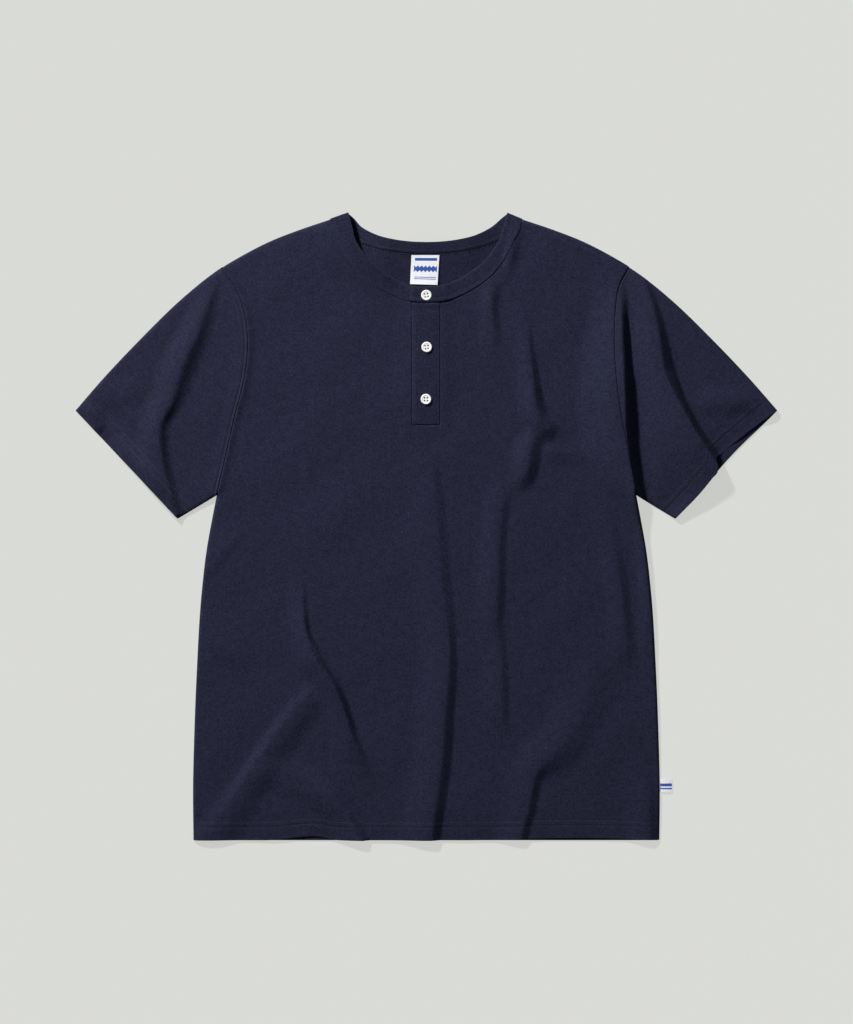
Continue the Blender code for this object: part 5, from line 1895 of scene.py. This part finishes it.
def button_thread(name, button, base):
    """Two strands from hole to hole each way, dipping into the holes."""
    curve = bpy.data.curves.new(name, "CURVE")
    curve.dimensions = "3D"
    curve.bevel_depth = THREAD_ROUND / 2.0 * MM
    curve.bevel_resolution = 2
    curve.use_fill_caps = True
    half = BUTTON_HOLES_APART / 2.0
    share = np.linspace(-1.0, 1.0, STRAND_POINTS)
    x = share * half * STRAND_REACH
    height = STRAND_TOP - STRAND_DIP * np.abs(share) ** STRAND_BEND
    for side, strand in ((-1, -1), (-1, 1), (1, -1), (1, 1)):
        y = np.full(len(share), side * half + strand * STRANDS_APART / 2.0)
        spline = curve.splines.new("POLY")
        spline.points.add(len(share) - 1)
        for point, place in zip(spline.points, np.column_stack([x, y, height]) * MM):
            point.co = (*place, 1.0)
    obj = placed(name, curve)
    bpy.context.view_layer.update()
    evaluated = obj.evaluated_get(bpy.context.evaluated_depsgraph_get())
    data = bpy.data.meshes.new_from_object(evaluated)
    bpy.data.objects.remove(obj)
    set_in_place(data, button, base)
    data.materials.clear()
    data.materials.append(IVORY_THREAD)
    data.shade_smooth()
    return placed(name, data)


for number, button in enumerate(BUTTONS, start=1):
    button_base = float(top_height(button.x, button.y)) + OVER_LIFT - BUTTON_SUNK
    disc = button_object(f"button_{number}_disc", button, button_base)
    stands_for(disc, f"button_{number}")
    strands = button_thread(f"button_{number}_thread", button, button_base)
    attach(strands, "root")


# ---------------------------------------------------------------------------- Labels
# The neck label is a white woven patch, sewn across its top inside the back neck. The side label
# is a folded tab of the same ribbon, caught in the right side seam. Both have a plain made-up
# pattern of bars and diamonds in blue.

NECK_LABEL = ((-16.4, 297.8), (-18.0, 266.4), (12.2, 265.4), (14.2, 297.8))
LABEL_THICK = 0.55
LABEL_REST = 1.3  # height of its under face
LABEL_BLUE = (0.03, 0.10, 0.42)
LABEL_WHITE = (0.93, 0.93, 0.97)
LABEL_STEPS = 26
LABEL_STITCH = 1.0  # the sewing's distance below the upper edge
LABEL_STITCH_PROUD = 0.05
LABEL_ROW_POINTS = 30
LABEL_ARCH = 0.5  # how much its foot arches across
LABEL_FOOT_RISE = 0.6  # how far its foot stands up
LABEL_DIM = (0.93, 0.8)  # its darkest white and its darkest blue, as shares of their colours
SIDE_LABEL_Y = -284.8
SIDE_LABEL_WIDE = 13.0
SIDE_LABEL_TALL = 14.4
SIDE_LABEL_THICK = 1.2
SIDE_LABEL_ARCH = 0.4

# The woven pattern: a bar runs between two distances from the label's foot, and on the neck
# label all of it keeps between two distances from the left
NECK_BARS = ((25.4, 28.4), (7.4, 8.2), (5.6, 6.4))
NECK_PATTERN_X = (4.0, 28.0)
DIAMONDS_AT = (16.0, 16.8)
DIAMONDS_APART = 8.4
DIAMOND_HALF = 3.6
SIDE_BARS = ((3.0, 4.6), (6.2, 9.4))


def ribbon_group():
    """Satin ribbon woven from fine yarn: ribs of warp crossed by weft."""
    group, given, made = new_group(
        "woven_ribbon",
        [("Place", "NodeSocketVector", None), ("Pitch", "NodeSocketFloat", 0.00042)],
        ["Shade", "Height"],
    )
    x, y, _ = split_xyz(group, given["Place"])

    def yarns(way):
        turns = maths(group, "MULTIPLY", way, 2.0 * math.pi)
        return maths(group, "SINE", maths(group, "DIVIDE", turns, given["Pitch"]))

    ribs = maths(group, "MULTIPLY", yarns(x), yarns(y))
    grain = maths(group, "SUBTRACT", speckle(group, given["Place"], 1500.0, 2.0), 0.5)
    shade, height = (maths(group, "MULTIPLY_ADD", part, 0.5, 0.5) for part in (grain, ribs))
    set_inputs(group, made, {"Shade": shade, "Height": height})
    return group


RIBBON = ribbon_group()


def inside(tree, value, ends):
    """1 where a value lies between two others."""
    low, high = ends
    above = maths(tree, "GREATER_THAN", value, low)
    return maths(tree, "MULTIPLY", above, maths(tree, "LESS_THAN", value, high))


def either(tree, *masks):
    total = masks[0]
    for mask in masks[1:]:
        total = maths(tree, "MAXIMUM", total, mask)
    return total


def label_material(name, pattern):
    made, tree, shader = new_material(name)
    place = cloth_place(tree)
    woven = add_node(tree, "ShaderNodeGroup", {"Place": place}, node_tree=RIBBON).outputs
    x, y = (maths(tree, "DIVIDE", way, MM) for way in split_xyz(tree, place)[:2])
    ground = blended(tree, woven["Shade"], scaled(LABEL_WHITE, LABEL_DIM[0]), LABEL_WHITE)
    blue = blended(tree, woven["Shade"], scaled(LABEL_BLUE, LABEL_DIM[1]), LABEL_BLUE)
    inputs = {
        "Base Color": blended(tree, pattern(tree, x, y), ground, blue),
        "Roughness": 0.55,
        "Normal": raised_normal(tree, woven["Height"], 0.5, 0.0001),
    }
    set_inputs(tree, shader, inputs)
    return made


def diamonds(tree, x, y):
    """A row of three diamonds."""
    middle_x, middle_y = DIAMONDS_AT
    shifted = maths(tree, "SUBTRACT", x, middle_x)
    onward = maths(tree, "ADD", shifted, DIAMONDS_APART * 2.0)
    cell = maths(tree, "PINGPONG", onward, DIAMONDS_APART / 2.0)
    from_side = maths(tree, "SUBTRACT", DIAMONDS_APART / 2.0, cell)
    off = maths(tree, "ABSOLUTE", maths(tree, "SUBTRACT", y, middle_y))
    away = maths(tree, "ADD", maths(tree, "MINIMUM", cell, from_side), off)
    shape = maths(tree, "LESS_THAN", away, DIAMOND_HALF)
    row = inside(tree, shifted, (-1.5 * DIAMONDS_APART, 1.5 * DIAMONDS_APART))
    return maths(tree, "MULTIPLY", shape, row)


def neck_label_pattern(tree, x, y):
    bars = either(tree, *[inside(tree, y, bar) for bar in NECK_BARS])
    bars = maths(tree, "MULTIPLY", bars, inside(tree, x, NECK_PATTERN_X))
    return either(tree, bars, diamonds(tree, x, y))


def side_label_pattern(tree, _, y):
    return either(tree, *[inside(tree, y, bar) for bar in SIDE_BARS])


def label_object(name, corners, bottom, thick, curl, finish):
    """A thin patch between four corners: upper left, lower left, lower right, upper right."""
    upper_left, lower_left, lower_right, upper_right = (np.array(c, float) for c in corners)
    u = v = np.linspace(0.0, 1.0, LABEL_STEPS)
    low = lower_left + (lower_right - lower_left) * u[:, None]
    high = upper_left + (upper_right - upper_left) * u[:, None]
    plan = low[None] + (high - low)[None] * v[:, None, None]
    height = bottom + thick + curl(u[None, :], v[:, None]) + back_rise(plan[..., 0], plan[..., 1])
    points = np.dstack([plan, np.broadcast_to(height, plan.shape[:2])])
    wide = np.linalg.norm(lower_right - lower_left)
    tall = np.linalg.norm(upper_left - lower_left)
    flat = np.stack(np.meshgrid(u * wide, v * tall), axis=-1)
    worn = np.zeros(plan.shape[:2])
    return sheet_object(name, points, flat, worn, finish, thick), (float(wide), float(tall))


def neck_label_curl(u, v):
    return LABEL_ARCH * np.sin(np.pi * u) * (1.0 - v) + LABEL_FOOT_RISE * (1.0 - v) ** 3


def side_label_curl(u, v):
    return SIDE_LABEL_ARCH * np.sin(np.pi * u) * np.ones_like(v)


NECK_RIBBON = label_material("neck_label_ribbon", neck_label_pattern)
SIDE_RIBBON = label_material("side_label_ribbon", side_label_pattern)
neck_label, neck_label_cut = label_object(
    "neck_label_patch", NECK_LABEL, LABEL_REST, LABEL_THICK, neck_label_curl, NECK_RIBBON
)
label_edge = np.linspace(NECK_LABEL[0], NECK_LABEL[3], LABEL_ROW_POINTS)
label_top = (label_edge - (0.0, LABEL_STITCH))[1:-1]
label_height = LABEL_REST + LABEL_THICK + LABEL_STITCH_PROUD + back_rise(*label_top.T)
label_line = np.column_stack([label_top, label_height])
LABEL_SEWING = running_stitch(1.9, 2.4, 0.17)
label_stitches = sewn("neck_label_stitches", [label_line], LABEL_SEWING, IVORY_THREAD)
stands_for(neck_label, "neck_label")

side_edge_x = float(body_edge_x(SIDE_LABEL_Y, 1)) + SEAM_GAP
side_x = (side_edge_x, side_edge_x + SIDE_LABEL_WIDE)
side_y = (SIDE_LABEL_Y - SIDE_LABEL_TALL / 2.0, SIDE_LABEL_Y + SIDE_LABEL_TALL / 2.0)
side_corners = (
    (side_x[0], side_y[1]),
    (side_x[0], side_y[0]),
    (side_x[1], side_y[0]),
    (side_x[1], side_y[1]),
)
side_label, side_label_cut = label_object(
    "side_label_tab", side_corners, 0.0, SIDE_LABEL_THICK, side_label_curl, SIDE_RIBBON
)
stands_for(side_label, "side_label")


# ---------------------------------------------------------------------------- Floor and light
# A plain pale floor, a low key light from the upper left, and soft light from all round. The
# camera looks straight down on the shirt.

FLOOR = (0.700, 0.708, 0.672)
FLOOR_GLOW = 0.79  # share of the floor's brightness that shadows leave
FLOOR_HALF = 25.0
FLOOR_Z = -0.0003
KEY_HEADING = (0.585, -0.811)
KEY_ELEVATION = math.radians(31.0)
KEY_LEVEL = scaled(KEY_HEADING, math.cos(KEY_ELEVATION))
KEY_WAY = Vector((*KEY_LEVEL, -math.sin(KEY_ELEVATION)))  # the way that its light goes
KEY_AWAY = 4.05
KEY_SIZE = 0.3
KEY_POWER = 269.0
KEY_SHARE = 0.18  # of the floor's brightness, what the key gives at the middle
FILL_COLOUR = (0.86, 0.92, 1.0)
FILL_STRENGTH = 0.18
CAMERA_HEIGHT = 3.0
CAMERA_AIM = (0.0001, 0.0159)
FRAME_TALL = 1.1264  # height of the camera's view at the surface
SENSOR = 36.0


def key_light(tree, place):
    """How strongly the key lights a place on the floor, set against the middle."""
    away = vector_maths(tree, "SUBTRACT", {0: place, 1: KEY_WAY * -KEY_AWAY})["Vector"]
    length = vector_maths(tree, "LENGTH", {0: away})["Value"]
    along = vector_maths(tree, "DOT_PRODUCT", {0: away, 1: KEY_WAY})["Value"]
    near = maths(tree, "DIVIDE", KEY_AWAY, length)
    share = maths(tree, "DIVIDE", along, length)
    return maths(tree, "MULTIPLY", maths(tree, "POWER", near, 3.0), share)


def floor_material():
    """Pale and matt. Its glow evens out the key's light."""
    made, tree, shader = new_material("pale_floor")
    lit = key_light(tree, add_node(tree, "ShaderNodeTexCoord").outputs["Object"])
    inputs = {
        "Base Color": opaque(scaled(FLOOR, 1.0 - FLOOR_GLOW)),
        "Roughness": 0.9,
        "Specular IOR Level": 0.0,
        "Emission Color": opaque(FLOOR),
        "Emission Strength": maths(tree, "MULTIPLY_ADD", lit, -KEY_SHARE, FLOOR_GLOW + KEY_SHARE),
    }
    set_inputs(tree, shader, inputs)
    return made


floor_data = bpy.data.meshes.new("floor")
floor_corners = [
    (x * FLOOR_HALF, y * FLOOR_HALF, FLOOR_Z) for x, y in ((-1, -1), (1, -1), (1, 1), (-1, 1))
]
floor_data.from_pydata(floor_corners, [], [(0, 1, 2, 3)])
floor_data.materials.append(floor_material())
floor = placed("floor", floor_data)
floor.visible_diffuse = False

key_data = bpy.data.lights.new("key", "AREA")
key_data.shape = "SQUARE"
key_data.size = KEY_SIZE
key_data.energy = KEY_POWER
key = placed("key", key_data)
key.location = KEY_WAY * -KEY_AWAY
key.rotation_mode = "QUATERNION"
key.rotation_quaternion = KEY_WAY.to_track_quat("-Z", "Y")
key.visible_camera = False

world = bpy.data.worlds.new("studio")
bpy.context.scene.world = world
world.use_nodes = True
sky = world.node_tree
sky.nodes.clear()
seen = add_node(sky, "ShaderNodeBackground", {"Color": opaque(FLOOR)}).outputs[0]
fill_inputs = {"Color": opaque(FILL_COLOUR), "Strength": FILL_STRENGTH}
fill = add_node(sky, "ShaderNodeBackground", fill_inputs).outputs[0]
from_camera = add_node(sky, "ShaderNodeLightPath").outputs["Is Camera Ray"]
mixed = add_node(sky, "ShaderNodeMixShader", {"Fac": from_camera, 1: fill, 2: seen})
add_node(sky, "ShaderNodeOutputWorld", {"Surface": mixed.outputs[0]})

camera_data = bpy.data.cameras.new("camera")
camera_data.sensor_width = SENSOR
camera_data.lens = SENSOR * CAMERA_HEIGHT / FRAME_TALL
camera_data.clip_end = 100.0
camera = placed("camera", camera_data)
camera.location = (*CAMERA_AIM, CAMERA_HEIGHT)
bpy.context.scene.camera = camera
bpy.context.scene.view_settings.view_transform = "Standard"
